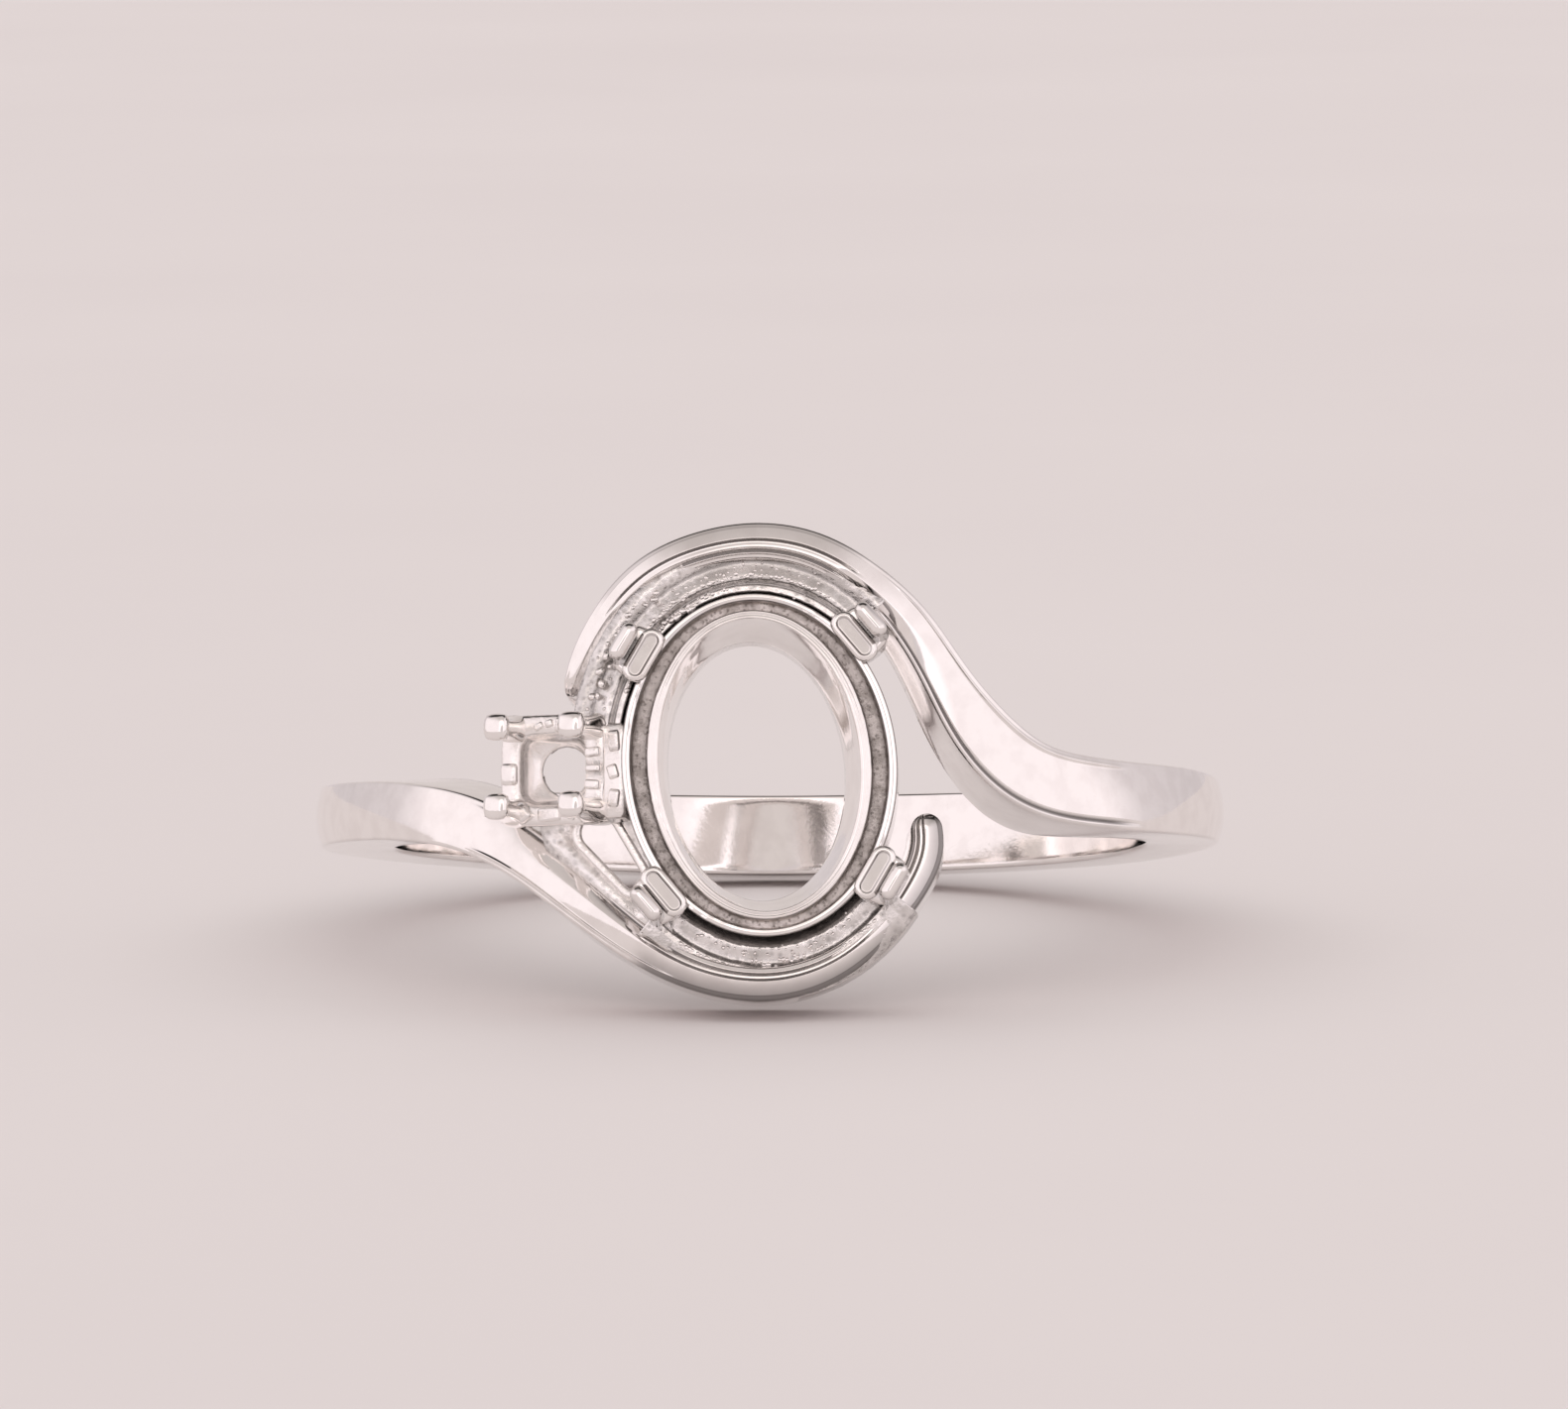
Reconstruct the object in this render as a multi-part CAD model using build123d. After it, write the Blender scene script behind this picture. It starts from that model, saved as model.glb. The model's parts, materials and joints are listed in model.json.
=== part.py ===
from build123d import *
from build123d.topology import SkipClean

import math
import os
from typing import NamedTuple

# Silver bypass ring with two empty stone settings, all soldered into one solid.
# Millimetres. Ring frame: X to the right arm, Y along the finger, Z out through
# the oval setting, with the origin at the finger's centre. The finished ring is
# then laid on its side, as it rests on a table, with +Z up.

# Driving sizes of the band
FINGER_DIAMETER = 17.3
SHANK_THICKNESS = 1.55
ARM_THICKNESS = 2.15
SHANK_WIDTH = 1.9
ARM_REACH = 4.98
CROWN = 0.22
DRAFT = 0.3
BORE_STOCK = 0.45

# Driving sizes of the oval setting, whose long side runs along the finger
STONE_LENGTH = 8.0
STONE_WIDTH = 6.0
HEAD_TWIST = 5.0
HEAD_HEIGHT = 2.25
RIM_SIDE_MARGIN = 0.03
RIM_END_MARGIN = -0.22
RIM_WALL = 0.21
CHANNEL_WIDTH = 0.36
CHANNEL_DEPTH = 0.5
COLLAR_WALL = 0.25
COLLAR_STEP = 0.06
HEAD_TAPER = 0.26
END_SHARE = 0.74
FOOT_END_SHARE = 0.87

# Driving sizes of the four wide prongs round the oval
PRONG_WIDTH = 1.2
PRONG_DEPTH = 0.92
PRONG_RISE = 1.1
PRONG_SHELF = 0.28
PRONG_TIP_DEPTH = 0.46
PRONG_ROUND = 0.2
PRONG_TIP_DEPTH_SHARE = 0.9
PRONG_TIP_WIDTH_SHARE = 0.8
PRONG_SIDE_SHARE = 0.82
PRONG_END_SHARE = 0.69

# Driving sizes of the small round setting beside the oval
ACCENT_DIAMETER = 2.0
ACCENT_LEAN = 19.0
ACCENT_GAP = -0.04
ACCENT_HOLE = 1.1
ACCENT_CUP_HEIGHT = 0.8
ACCENT_BAR_HEIGHT = 0.34
ACCENT_BAR = 0.45
ACCENT_PRONG_RISE = 1.4
ACCENT_PRONG_WIRE = 0.5
ACCENT_RISE_ALONG = 0.04
ACCENT_PINCH_SHARE = 0.9
ACCENT_FOOT_SHARE = 0.8
ACCENT_FOOT_ROUND_SHARE = 0.375
ACCENT_TOP_ROUND_SHARE = 0.12
ACCENT_SEAT_HEIGHT_SHARE = 0.4
ACCENT_SEAT_ROUND_SHARE = 0.45
ACCENT_MOUTH_ROUND_SHARE = 0.2

# Driving sizes of the soldered webs between the arms and the settings
WEB_SIDE_REACH = 1.05
WEB_END_INSET = 0.1
WEB_TOP_DROP = 0.62
WEB_BOTTOM_DROP = 1.9
UPPER_WEB_START = 52.0
UPPER_WEB_END = 166.0
LOWER_WEB_START = 229.0
LOWER_WEB_END = 312.0
BRIDGE_TOP_DROP = 1.15
BRIDGE_REACH = 1.72
BRIDGE_START = 1.5
BRIDGE_END = -2.25
WINDOW_RADIUS = 0.47
WINDOW_POINT_RADIUS = 0.32
WINDOW_GAP = -0.08
WINDOW_RISE = -1.4
WINDOW_LENGTH = 1.35
WINDOW_TURN = -53.0

# How far a cutting body runs past what it cuts, a pie slice's step in degrees,
# and the number of sectors that the finger hole is cut in
OVERCUT = 2.0
WEDGE_STEP = 60.0
FINGER_SECTORS = 8

# Sizes that follow from the driving ones
FINGER_RADIUS = FINGER_DIAMETER / 2
SHANK_RADIUS = FINGER_RADIUS + SHANK_THICKNESS
ARM_RADIUS = FINGER_RADIUS + ARM_THICKNESS
HEAD_TOP = FINGER_RADIUS + HEAD_HEIGHT
RIM_X = STONE_WIDTH / 2 + RIM_SIDE_MARGIN
RIM_Y = STONE_LENGTH / 2 + RIM_END_MARGIN


class Station(NamedTuple):
    """One section of the bar: lengths are shares of the named sizes."""

    turn: float
    rise: float
    width: float
    height: float
    lean: float
    flare: float


# turn and lean in degrees from the oval setting; rise as a share of ARM_REACH,
# width of SHANK_WIDTH, height of the step from SHANK_RADIUS to ARM_RADIUS, and
# flare of DRAFT, by which the foot reaches out towards the oval
UPPER_ARM = [
    Station(-23.6, 0.325, 0.18, 0.62, 0.0, 1.0),
    Station(-21.9, 0.460, 0.27, 0.84, 0.0, 1.0),
    Station(-18.8, 0.655, 0.33, 0.94, 0.0, 1.0),
    Station(-13.2, 0.862, 0.39, 1.00, 0.0, 1.0),
    Station(-6.6, 0.968, 0.41, 1.00, 0.0, 1.0),
    Station(0.0, 1.000, 0.42, 1.00, 0.0, 1.0),
    Station(6.5, 0.955, 0.43, 1.00, 0.0, 1.0),
    Station(12.5, 0.828, 0.45, 1.00, 0.0, 1.0),
    Station(17.6, 0.652, 0.49, 1.00, 0.0, 1.0),
    Station(21.8, 0.430, 0.55, 1.00, 2.0, 1.0),
    Station(26.2, 0.225, 0.61, 0.98, 6.0, 1.0),
    Station(33.0, 0.035, 0.69, 0.94, 15.0, 1.0),
    Station(44.0, -0.048, 0.73, 0.86, 32.0, 0.8),
    Station(60.0, -0.052, 0.74, 0.70, 56.0, 0.4),
]
SHANK = [
    Station(90.0, -0.034, 0.76, 0.42, 90.0, 0.0),
    Station(120.0, -0.010, 0.88, 0.20, 120.0, 0.0),
    Station(150.0, 0.010, 0.97, 0.06, 150.0, 0.0),
    Station(180.0, 0.012, 1.00, 0.00, 180.0, 0.0),
    Station(210.0, 0.010, 0.97, 0.06, 210.0, 0.0),
    Station(240.0, -0.010, 0.88, 0.20, 240.0, 0.0),
    Station(270.0, -0.055, 0.76, 0.42, 270.0, 0.0),
]
LOWER_ARM = [
    Station(297.0, -0.100, 0.70, 0.66, 302.0, -0.4),
    Station(313.0, -0.148, 0.68, 0.82, 327.0, -0.8),
    Station(323.0, -0.228, 0.66, 0.90, 343.0, -1.0),
    Station(331.0, -0.370, 0.62, 0.95, 353.0, -1.0),
    Station(337.6, -0.550, 0.56, 0.98, 358.0, -1.0),
    Station(343.6, -0.722, 0.49, 1.00, 360.0, -1.0),
    Station(350.0, -0.883, 0.42, 1.00, 360.0, -1.0),
    Station(356.5, -0.968, 0.39, 1.00, 360.0, -1.0),
    Station(363.0, -0.970, 0.38, 1.00, 360.0, -1.0),
    Station(369.5, -0.880, 0.36, 1.00, 360.0, -1.0),
    Station(375.0, -0.702, 0.33, 0.98, 360.0, -1.0),
    Station(379.0, -0.505, 0.30, 0.92, 360.0, -1.0),
    Station(380.9, -0.345, 0.27, 0.84, 360.0, -1.0),
    Station(381.0, -0.215, 0.18, 0.66, 360.0, -1.0),
]
BAND = UPPER_ARM + SHANK + LOWER_ARM


def spoke(angle: float) -> Vector:
    """Unit vector out of the finger at an angle from the oval setting."""
    return Vector(math.sin(math.radians(angle)), 0, math.cos(math.radians(angle)))


def outer_radius(row: Station) -> float:
    """Distance of the bar's outer face from the finger's centre."""
    return SHANK_RADIUS + (ARM_RADIUS - SHANK_RADIUS) * row.height


def crest(row: Station) -> Vector:
    """Middle of the bar's outer face at one station."""
    return spoke(row.turn) * outer_radius(row) + Vector(0, row.rise * ARM_REACH, 0)


def band_section(index: int) -> Wire:
    """Closed section of the bar: flat inside, drafted sides, domed outside."""
    row = BAND[index]
    before = crest(BAND[max(index - 1, 0)])
    after = crest(BAND[min(index + 1, len(BAND) - 1)])
    up = spoke(row.lean)
    across = (after - before).cross(up).normalized()
    depth = outer_radius(row) - FINGER_RADIUS + BORE_STOCK
    depth /= math.cos(math.radians(row.turn - row.lean))
    half = row.width * SHANK_WIDTH / 2
    crown = CROWN * row.width
    middle = crest(row)
    left_top = middle - across * half - up * crown
    right_top = middle + across * half - up * crown
    left_foot = middle - across * (half + DRAFT * max(-row.flare, 0)) - up * depth
    right_foot = middle + across * (half + DRAFT * max(row.flare, 0)) - up * depth
    return Wire(
        [
            Edge.make_line(left_foot, left_top),
            Edge.make_three_point_arc(left_top, middle, right_top),
            Edge.make_line(right_top, right_foot),
            Edge.make_line(right_foot, left_foot),
        ]
    )


def make_band() -> Part:
    """The shank and both swept arms, one bar lofted from tip to tip."""
    return Part() + Solid.make_loft([band_section(i) for i in range(len(BAND))])


def oval(inset: float, height: float, end_share: float = END_SHARE) -> Sketch:
    """Oval face inside the rim by an inset, less at its two ends, at a height."""
    face = Ellipse(RIM_X - inset, RIM_Y - inset * end_share)
    return Pos(0, 0, height) * Rot(0, 0, HEAD_TWIST) * face


def make_oval_head() -> Part:
    """The oval setting: outer rim, sunk channel and a collar, still solid inside."""
    foot = HEAD_TOP - HEAD_HEIGHT - BORE_STOCK
    collar = RIM_WALL + CHANNEL_WIDTH
    floor = HEAD_TOP - CHANNEL_DEPTH
    body = extrude(oval(0, foot), amount=HEAD_TOP - foot)
    channel = extrude(oval(RIM_WALL, floor), amount=OVERCUT)
    lip = extrude(oval(collar, foot), amount=HEAD_TOP + COLLAR_STEP - foot)
    return body - channel + lip


def oval_hollow() -> Part:
    """The tapered way through the oval setting."""
    inside = RIM_WALL + CHANNEL_WIDTH + COLLAR_WALL
    foot = HEAD_TOP - HEAD_HEIGHT - BORE_STOCK
    low = oval(inside + HEAD_TAPER, foot, FOOT_END_SHARE)
    return loft([low, oval(inside, HEAD_TOP + COLLAR_STEP)])


def make_prong() -> Part:
    """One wide prong at the origin: a block with a seat shelf and a raised tip."""
    foot = -HEAD_HEIGHT / 2
    corner = PRONG_ROUND
    block = extrude(
        Pos(0, 0, foot) * RectangleRounded(PRONG_DEPTH, PRONG_WIDTH, corner),
        amount=PRONG_SHELF - foot,
    )
    out = (PRONG_DEPTH - PRONG_TIP_DEPTH) / 2
    base = Pos(out, 0, 0) * RectangleRounded(PRONG_TIP_DEPTH, PRONG_WIDTH, corner)
    tip_depth = PRONG_TIP_DEPTH * PRONG_TIP_DEPTH_SHARE
    tip_width = PRONG_WIDTH * PRONG_TIP_WIDTH_SHARE
    slim = RectangleRounded(tip_depth, tip_width, corner * PRONG_TIP_DEPTH_SHARE)
    tip = loft([base, Pos(out, 0, PRONG_RISE) * slim])
    return block + tip


def make_prongs() -> Part:
    """Four wide prongs whose faces follow the oval."""
    prongs = Part()
    for side in (-1, 1):
        for end in (-1, 1):
            x = side * RIM_X * PRONG_SIDE_SHARE
            y = end * RIM_Y * PRONG_END_SHARE
            facing = math.degrees(math.atan2(y / RIM_Y**2, x / RIM_X**2))
            prongs += Pos(x, y, 0) * Rot(0, 0, facing) * make_prong()
    return Pos(0, 0, HEAD_TOP) * Rot(0, 0, HEAD_TWIST) * prongs


def accent_frame() -> Location:
    """Place of the small setting's foot, leaning away from the oval."""
    cup_half = accent_side() / 2
    x = -RIM_X - ACCENT_GAP - cup_half
    height = FINGER_RADIUS + BORE_STOCK
    return Pos(x, ACCENT_RISE_ALONG, height) * Rot(0, -ACCENT_LEAN, 0)


def accent_side() -> float:
    """Outer side of the small setting's square gallery."""
    return ACCENT_DIAMETER + ACCENT_BAR


def make_accent() -> Part:
    """The small setting: a tapered cup, a square gallery and four wire prongs."""
    side = accent_side()
    foot_side = side * ACCENT_FOOT_SHARE
    base = RectangleRounded(foot_side, foot_side, foot_side * ACCENT_FOOT_ROUND_SHARE)
    top = RectangleRounded(side, side, side * ACCENT_TOP_ROUND_SHARE)
    top = Pos(0, 0, ACCENT_CUP_HEIGHT) * top
    cup = loft([base, top])
    gallery = extrude(top, amount=ACCENT_BAR_HEIGHT)
    corner = (side - ACCENT_PRONG_WIRE) / 2
    prongs = Part()
    for x in (-corner, corner):
        for y in (-corner, corner):
            foot = Vector(x, y, ACCENT_CUP_HEIGHT)
            tip = Vector(x, y, 0) * ACCENT_PINCH_SHARE
            tip += Vector(0, 0, ACCENT_CUP_HEIGHT + ACCENT_PRONG_RISE)
            path = Edge.make_line(foot, tip)
            start = Plane(origin=foot, z_dir=tip - foot)
            prongs += sweep(start * Circle(ACCENT_PRONG_WIRE / 2), path=path)
            prongs += Pos(tip) * Sphere(ACCENT_PRONG_WIRE / 2)
    return accent_frame() * (cup + gallery + prongs)


def accent_hollow() -> Part:
    """The small setting's seat and the round way through its foot."""
    hole = extrude(Pos(0, 0, -OVERCUT) * Circle(ACCENT_HOLE / 2), amount=2 * OVERCUT)
    bowl_side = accent_side() - 2 * ACCENT_BAR
    low_round = ACCENT_HOLE * ACCENT_SEAT_ROUND_SHARE
    low = RectangleRounded(ACCENT_HOLE, ACCENT_HOLE, low_round)
    low = Pos(0, 0, ACCENT_CUP_HEIGHT * ACCENT_SEAT_HEIGHT_SHARE) * low
    high_round = bowl_side * ACCENT_MOUTH_ROUND_SHARE
    high = RectangleRounded(bowl_side, bowl_side, high_round)
    high = Pos(0, 0, ACCENT_CUP_HEIGHT + ACCENT_BAR_HEIGHT) * high
    return accent_frame() * (hole + loft([low, high]))


def wedge(start: float, end: float) -> Part:
    """Pie slice about the oval's middle between two directions in degrees."""
    reach = 2 * ARM_REACH
    steps = max(2, math.ceil((end - start) / WEDGE_STEP))
    rim = [start + (end - start) * i / steps for i in range(steps + 1)]
    points = [(0.0, 0.0)]
    points += [
        (reach * math.cos(math.radians(a)), reach * math.sin(math.radians(a))) for a in rim
    ]
    return extrude(make_face(Polyline(*points, close=True)), amount=2 * ARM_RADIUS)


def make_web(start: float, end: float) -> Part:
    """Solder web between the oval and an arm, over part of the way round."""
    top = HEAD_TOP - WEB_TOP_DROP
    bottom = HEAD_TOP - WEB_BOTTOM_DROP
    outline = Ellipse(RIM_X + WEB_SIDE_REACH, ARM_REACH - WEB_END_INSET)
    outline = Pos(0, 0, bottom) * Rot(0, 0, HEAD_TWIST) * outline
    ring = extrude(outline - oval(RIM_WALL, bottom), amount=top - bottom)
    return ring & wedge(start, end)


def make_bridge() -> Part:
    """Web from the small setting's foot to the lower arm, round a pointed window."""
    top = HEAD_TOP - BRIDGE_TOP_DROP
    bottom = HEAD_TOP - WEB_BOTTOM_DROP
    right = -RIM_X + RIM_WALL
    plate = Rectangle(BRIDGE_REACH, BRIDGE_START - BRIDGE_END)
    plate = Pos(right - BRIDGE_REACH / 2, (BRIDGE_START + BRIDGE_END) / 2) * plate
    middle = Pos(-RIM_X + WINDOW_GAP - WINDOW_RADIUS, WINDOW_RISE)
    point = middle * Rot(0, 0, WINDOW_TURN) * Pos(WINDOW_LENGTH, 0)
    ends = (middle * Circle(WINDOW_RADIUS)).edges()
    ends += (point * Circle(WINDOW_POINT_RADIUS)).edges()
    window = make_hull(ends)
    return Pos(0, 0, bottom) * extrude(plate - window, amount=top - bottom)


def open_finger_hole(metal: Part) -> Part:
    """Cuts the finger hole by sectors, so every stretch of its wall is one face."""
    arc = 360 / FINGER_SECTORS
    along = (Align.NONE, Align.NONE, Align.CENTER)
    sector = Cylinder(FINGER_RADIUS, 4 * ARM_REACH, arc_size=arc, align=along)
    cutters = [
        Rot(0, index * arc, 0) * Rot(90, 0, 0) * sector for index in range(FINGER_SECTORS)
    ]
    with SkipClean():
        return metal.cut(*cutters)


def make_ring() -> Part:
    """The whole ring in its own frame, opened for the finger and the stones."""
    metal = make_band() + make_oval_head()
    metal += make_web(UPPER_WEB_START, UPPER_WEB_END)
    metal += make_web(LOWER_WEB_START, LOWER_WEB_END)
    metal += make_bridge()
    metal += make_prongs()
    metal += make_accent()
    metal -= accent_hollow()
    metal -= oval_hollow()
    return open_finger_hole(metal)


def rest_tilt() -> float:
    """Degrees that the head rises by when the ring rests on arm and shank."""
    arm = min(BAND, key=lambda row: row.rise)
    back = BAND[len(UPPER_ARM) + len(SHANK) // 2]
    arm_edge = arm.rise * ARM_REACH - arm.width * SHANK_WIDTH / 2
    back_edge = back.rise * ARM_REACH - back.width * SHANK_WIDTH / 2
    run = FINGER_RADIUS + outer_radius(back) - CROWN
    return math.degrees(math.atan2(back_edge - arm_edge, run))


def lay_down(ring: Part) -> Part:
    """Rests the ring on its lower arm and the back of its shank, on z = 0."""
    laid = Rot(90 - rest_tilt(), 0, 0) * ring
    box = laid.bounding_box()
    return Pos(-box.center().X, -box.center().Y, -box.min.Z) * laid


os.makedirs("parts", exist_ok=True)
ring = make_ring()
export_step(lay_down(ring), "parts/ring_mount.step")
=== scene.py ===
import json
import logging
import math
from dataclasses import dataclass, field
from enum import Enum
from typing import Any, NamedTuple

import bmesh
import bpy
import numpy as np
from bpy.types import Material, Mesh, Node, NodeSocket, NodeTree, Object
from mathutils import Matrix, Vector


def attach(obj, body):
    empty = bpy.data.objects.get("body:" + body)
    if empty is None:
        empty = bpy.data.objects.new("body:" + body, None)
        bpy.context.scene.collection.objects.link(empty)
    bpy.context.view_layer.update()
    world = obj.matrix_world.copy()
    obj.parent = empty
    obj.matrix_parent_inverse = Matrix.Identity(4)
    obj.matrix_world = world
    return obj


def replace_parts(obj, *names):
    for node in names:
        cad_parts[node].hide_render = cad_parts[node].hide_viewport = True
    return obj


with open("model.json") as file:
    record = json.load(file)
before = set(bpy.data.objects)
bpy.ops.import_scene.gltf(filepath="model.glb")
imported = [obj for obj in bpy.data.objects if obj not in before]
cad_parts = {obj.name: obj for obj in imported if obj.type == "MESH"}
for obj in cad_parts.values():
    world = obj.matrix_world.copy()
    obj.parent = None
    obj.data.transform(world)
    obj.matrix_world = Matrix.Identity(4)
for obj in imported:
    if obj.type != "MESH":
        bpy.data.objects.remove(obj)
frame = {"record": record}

# Looks of a silver bypass ring with two empty stone settings, lying on its side.
# Sizes are millimetres in the ring's own frame: X to the right arm, Y along the
# finger, Z out through the oval setting, with the origin at the finger's centre.

MM = 0.001
NODE = "ring_mount"
BODY = "root"
MERGE = 0.0005
SEAM_MERGE = 0.0004
log = logging.getLogger("ring")
Rows = tuple[tuple[float, ...], ...]
Colour = tuple[float, float, float]

# Sections of the bar from tip to tip, seven numbers each: turn in degrees from the
# oval setting; rise along the finger, a share of the reach; width, a share of the
# shank's; height, a share of the step from shank to arm; lean in degrees; flare, a
# share of the draft; and the place of the highest line across the top.
STATIONS = (
    (-23.6, 0.325, 0.18, 0.62, 0, 1, 0.1), (-21.9, 0.46, 0.27, 0.84, 0, 1, 0.15),
    (-18.8, 0.655, 0.33, 0.94, 0, 1, 0.2), (-13.2, 0.862, 0.39, 1, 0, 1, 0.2),
    (-6.6, 0.968, 0.41, 1, 0, 1, 0.2), (0, 1, 0.42, 1, 0, 1, 0.2), (6.5, 0.955, 0.43, 1, 0, 1, 0.2),
    (12.5, 0.828, 0.45, 1, 0, 1, 0.2), (17.6, 0.652, 0.49, 1, 0, 1, 0.1),
    (21.8, 0.43, 0.55, 1, 2, 1, 0), (26.2, 0.205, 0.71, 0.98, 6, 0.75, 0),
    (33, 0.006, 0.84, 0.94, 15, 0.45, 0), (44, -0.066, 0.84, 0.86, 32, 0.2, 0),
    (60, -0.06, 0.82, 0.7, 56, 0, 0), (90, -0.034, 0.76, 0.42, 90, 0, 0),
    (120, -0.01, 0.88, 0.2, 120, 0, 0), (150, 0.01, 0.97, 0.06, 150, 0, 0),
    (180, 0.012, 1, 0, 180, 0, 0), (210, 0.01, 0.97, 0.06, 210, 0, 0),
    (240, -0.01, 0.88, 0.2, 240, 0, 0), (270, -0.055, 0.76, 0.42, 270, 0, 0),
    (297, -0.1, 0.7, 0.66, 302, -0.4, 0), (313, -0.148, 0.68, 0.82, 327, -0.8, 0),
    (323, -0.228, 0.66, 0.9, 343, -1, 0), (331, -0.37, 0.62, 0.95, 353, -1, -0.05),
    (337.6, -0.55, 0.56, 0.98, 358, -1, -0.15), (343.6, -0.722, 0.49, 1, 360, -1, -0.2),
    (350, -0.873, 0.42, 1, 360, -1, -0.2), (356.5, -0.953, 0.39, 1, 360, -1, -0.2),
    (363, -0.956, 0.38, 1, 360, -1, -0.2), (369.2, -0.87, 0.36, 1, 360, -1, -0.2),
    (374.5, -0.705, 0.34, 0.98, 360, -1, -0.15), (378.4, -0.505, 0.37, 0.95, 360, -0.8, -0.1),
    (380, -0.345, 0.38, 0.9, 360, -0.5, -0.1), (379.7, -0.2, 0.35, 0.84, 360, -0.3, -0.1),
)


class Socket(Enum):
    """Kinds of named input and output that a node tree has."""

    NUMBER = "NodeSocketFloat"
    COUNT = "NodeSocketInt"
    OBJECT = "NodeSocketObject"
    MATERIAL = "NodeSocketMaterial"
    GEOMETRY = "NodeSocketGeometry"
    VECTOR = "NodeSocketVector"


@dataclass(frozen=True)
class RingFrame:
    """The ring's own axes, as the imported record's finger hole gives them."""

    matrix: Matrix

    @classmethod
    def from_record(cls, record: dict[str, Any]) -> "RingFrame":
        """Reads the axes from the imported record.

        Args:
            record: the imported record.

        Returns:
            The frame that turns ring millimetres into row metres.
        """
        bore = next(m for m in record["mounts"] if m["name"] == "finger_bore")
        across, along = Vector((1.0, 0.0, 0.0)), Vector(bore["axis"]).normalized()
        turn = Matrix((across, along, across.cross(along))).transposed().to_4x4()
        return cls(Matrix.Translation(Vector(bore["pos_m"])) @ turn @ Matrix.Scale(MM, 4))

    def way(self, direction: Vector) -> Vector:
        """Row direction of a direction of the ring."""
        return (self.matrix.to_3x3() @ direction).normalized()


def triple(x: Any, y: Any, z: Any) -> np.ndarray:
    """Rows of three values, each given as a column or as one number."""
    return np.stack(np.broadcast_arrays(x, y, z), axis=1)


def point_rows(name: str, position: Any, **columns: np.ndarray) -> Mesh:
    """Makes a mesh of loose points that carries named rows of three values.

    Args:
        name: the mesh's name.
        position: the places of the points.
        columns: the rows of values, by name.

    Returns:
        The mesh of points.
    """
    mesh = bpy.data.meshes.new(name)
    mesh.vertices.add(len(position))
    mesh.vertices.foreach_set("co", np.asarray(position, np.float32).ravel())
    for key, values in columns.items():
        kept = mesh.attributes.new(key, "FLOAT_VECTOR", "POINT")
        kept.data.foreach_set("vector", np.asarray(values, np.float32).ravel())
    return mesh


def plain_mesh(name: str, points: Any, faces: list[tuple[int, ...]]) -> Mesh:
    """Makes a mesh from points and faces.

    Args:
        name: the mesh's name.
        points: the places of the points.
        faces: the numbers of each face's points.

    Returns:
        The mesh.
    """
    mesh = bpy.data.meshes.new(name)
    mesh.from_pydata([tuple(map(float, p)) for p in points], [], faces)
    return mesh


def ring_faces(rings: int, count: int, looped: bool = False) -> list[tuple[int, ...]]:
    """Lists the faces between stacked rings of points.

    Args:
        rings: how many rings there are.
        count: how many points a ring has.
        looped: whether the last ring joins the first, or both ends have a cap.

    Returns:
        The numbers of each face's points.
    """
    faces: list[tuple[int, ...]] = []
    for row in range(rings if looped else rings - 1):
        low, high = row * count, (row + 1) % rings * count
        for i in range(count):
            j = (i + 1) % count
            faces.append((low + i, low + j, high + j, high + i))
    if not looped:
        faces.append(tuple(range(count - 1, -1, -1)))
        faces.append(tuple(range((rings - 1) * count, rings * count)))
    return faces


def spline_rows(knots: np.ndarray, values: np.ndarray, wanted: np.ndarray) -> np.ndarray:
    """Runs a natural cubic spline through rows of values.

    Args:
        knots: rising places of the rows.
        values: one row of values for each knot.
        wanted: places at which values are wanted.

    Returns:
        One row of values for each wanted place.
    """
    step, count = np.diff(knots), len(knots)
    system, right = np.eye(count), np.zeros_like(values)
    slope = np.diff(values, axis=0) / step[:, None]
    for i in range(1, count - 1):
        system[i, i - 1 : i + 2] = step[i - 1], 2 * (step[i - 1] + step[i]), step[i]
        right[i] = 6 * (slope[i] - slope[i - 1])
    bend = np.linalg.solve(system, right)
    cell = np.clip(np.searchsorted(knots, wanted) - 1, 0, count - 2)
    width = step[cell][:, None]
    after = (wanted - knots[cell])[:, None]
    before = width - after
    curved = bend[cell] * before**3 + bend[cell + 1] * after**3
    straight = (values[cell] / width - bend[cell] * width / 6) * before
    straight += (values[cell + 1] / width - bend[cell + 1] * width / 6) * after
    return curved / (6 * width) + straight


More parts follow.
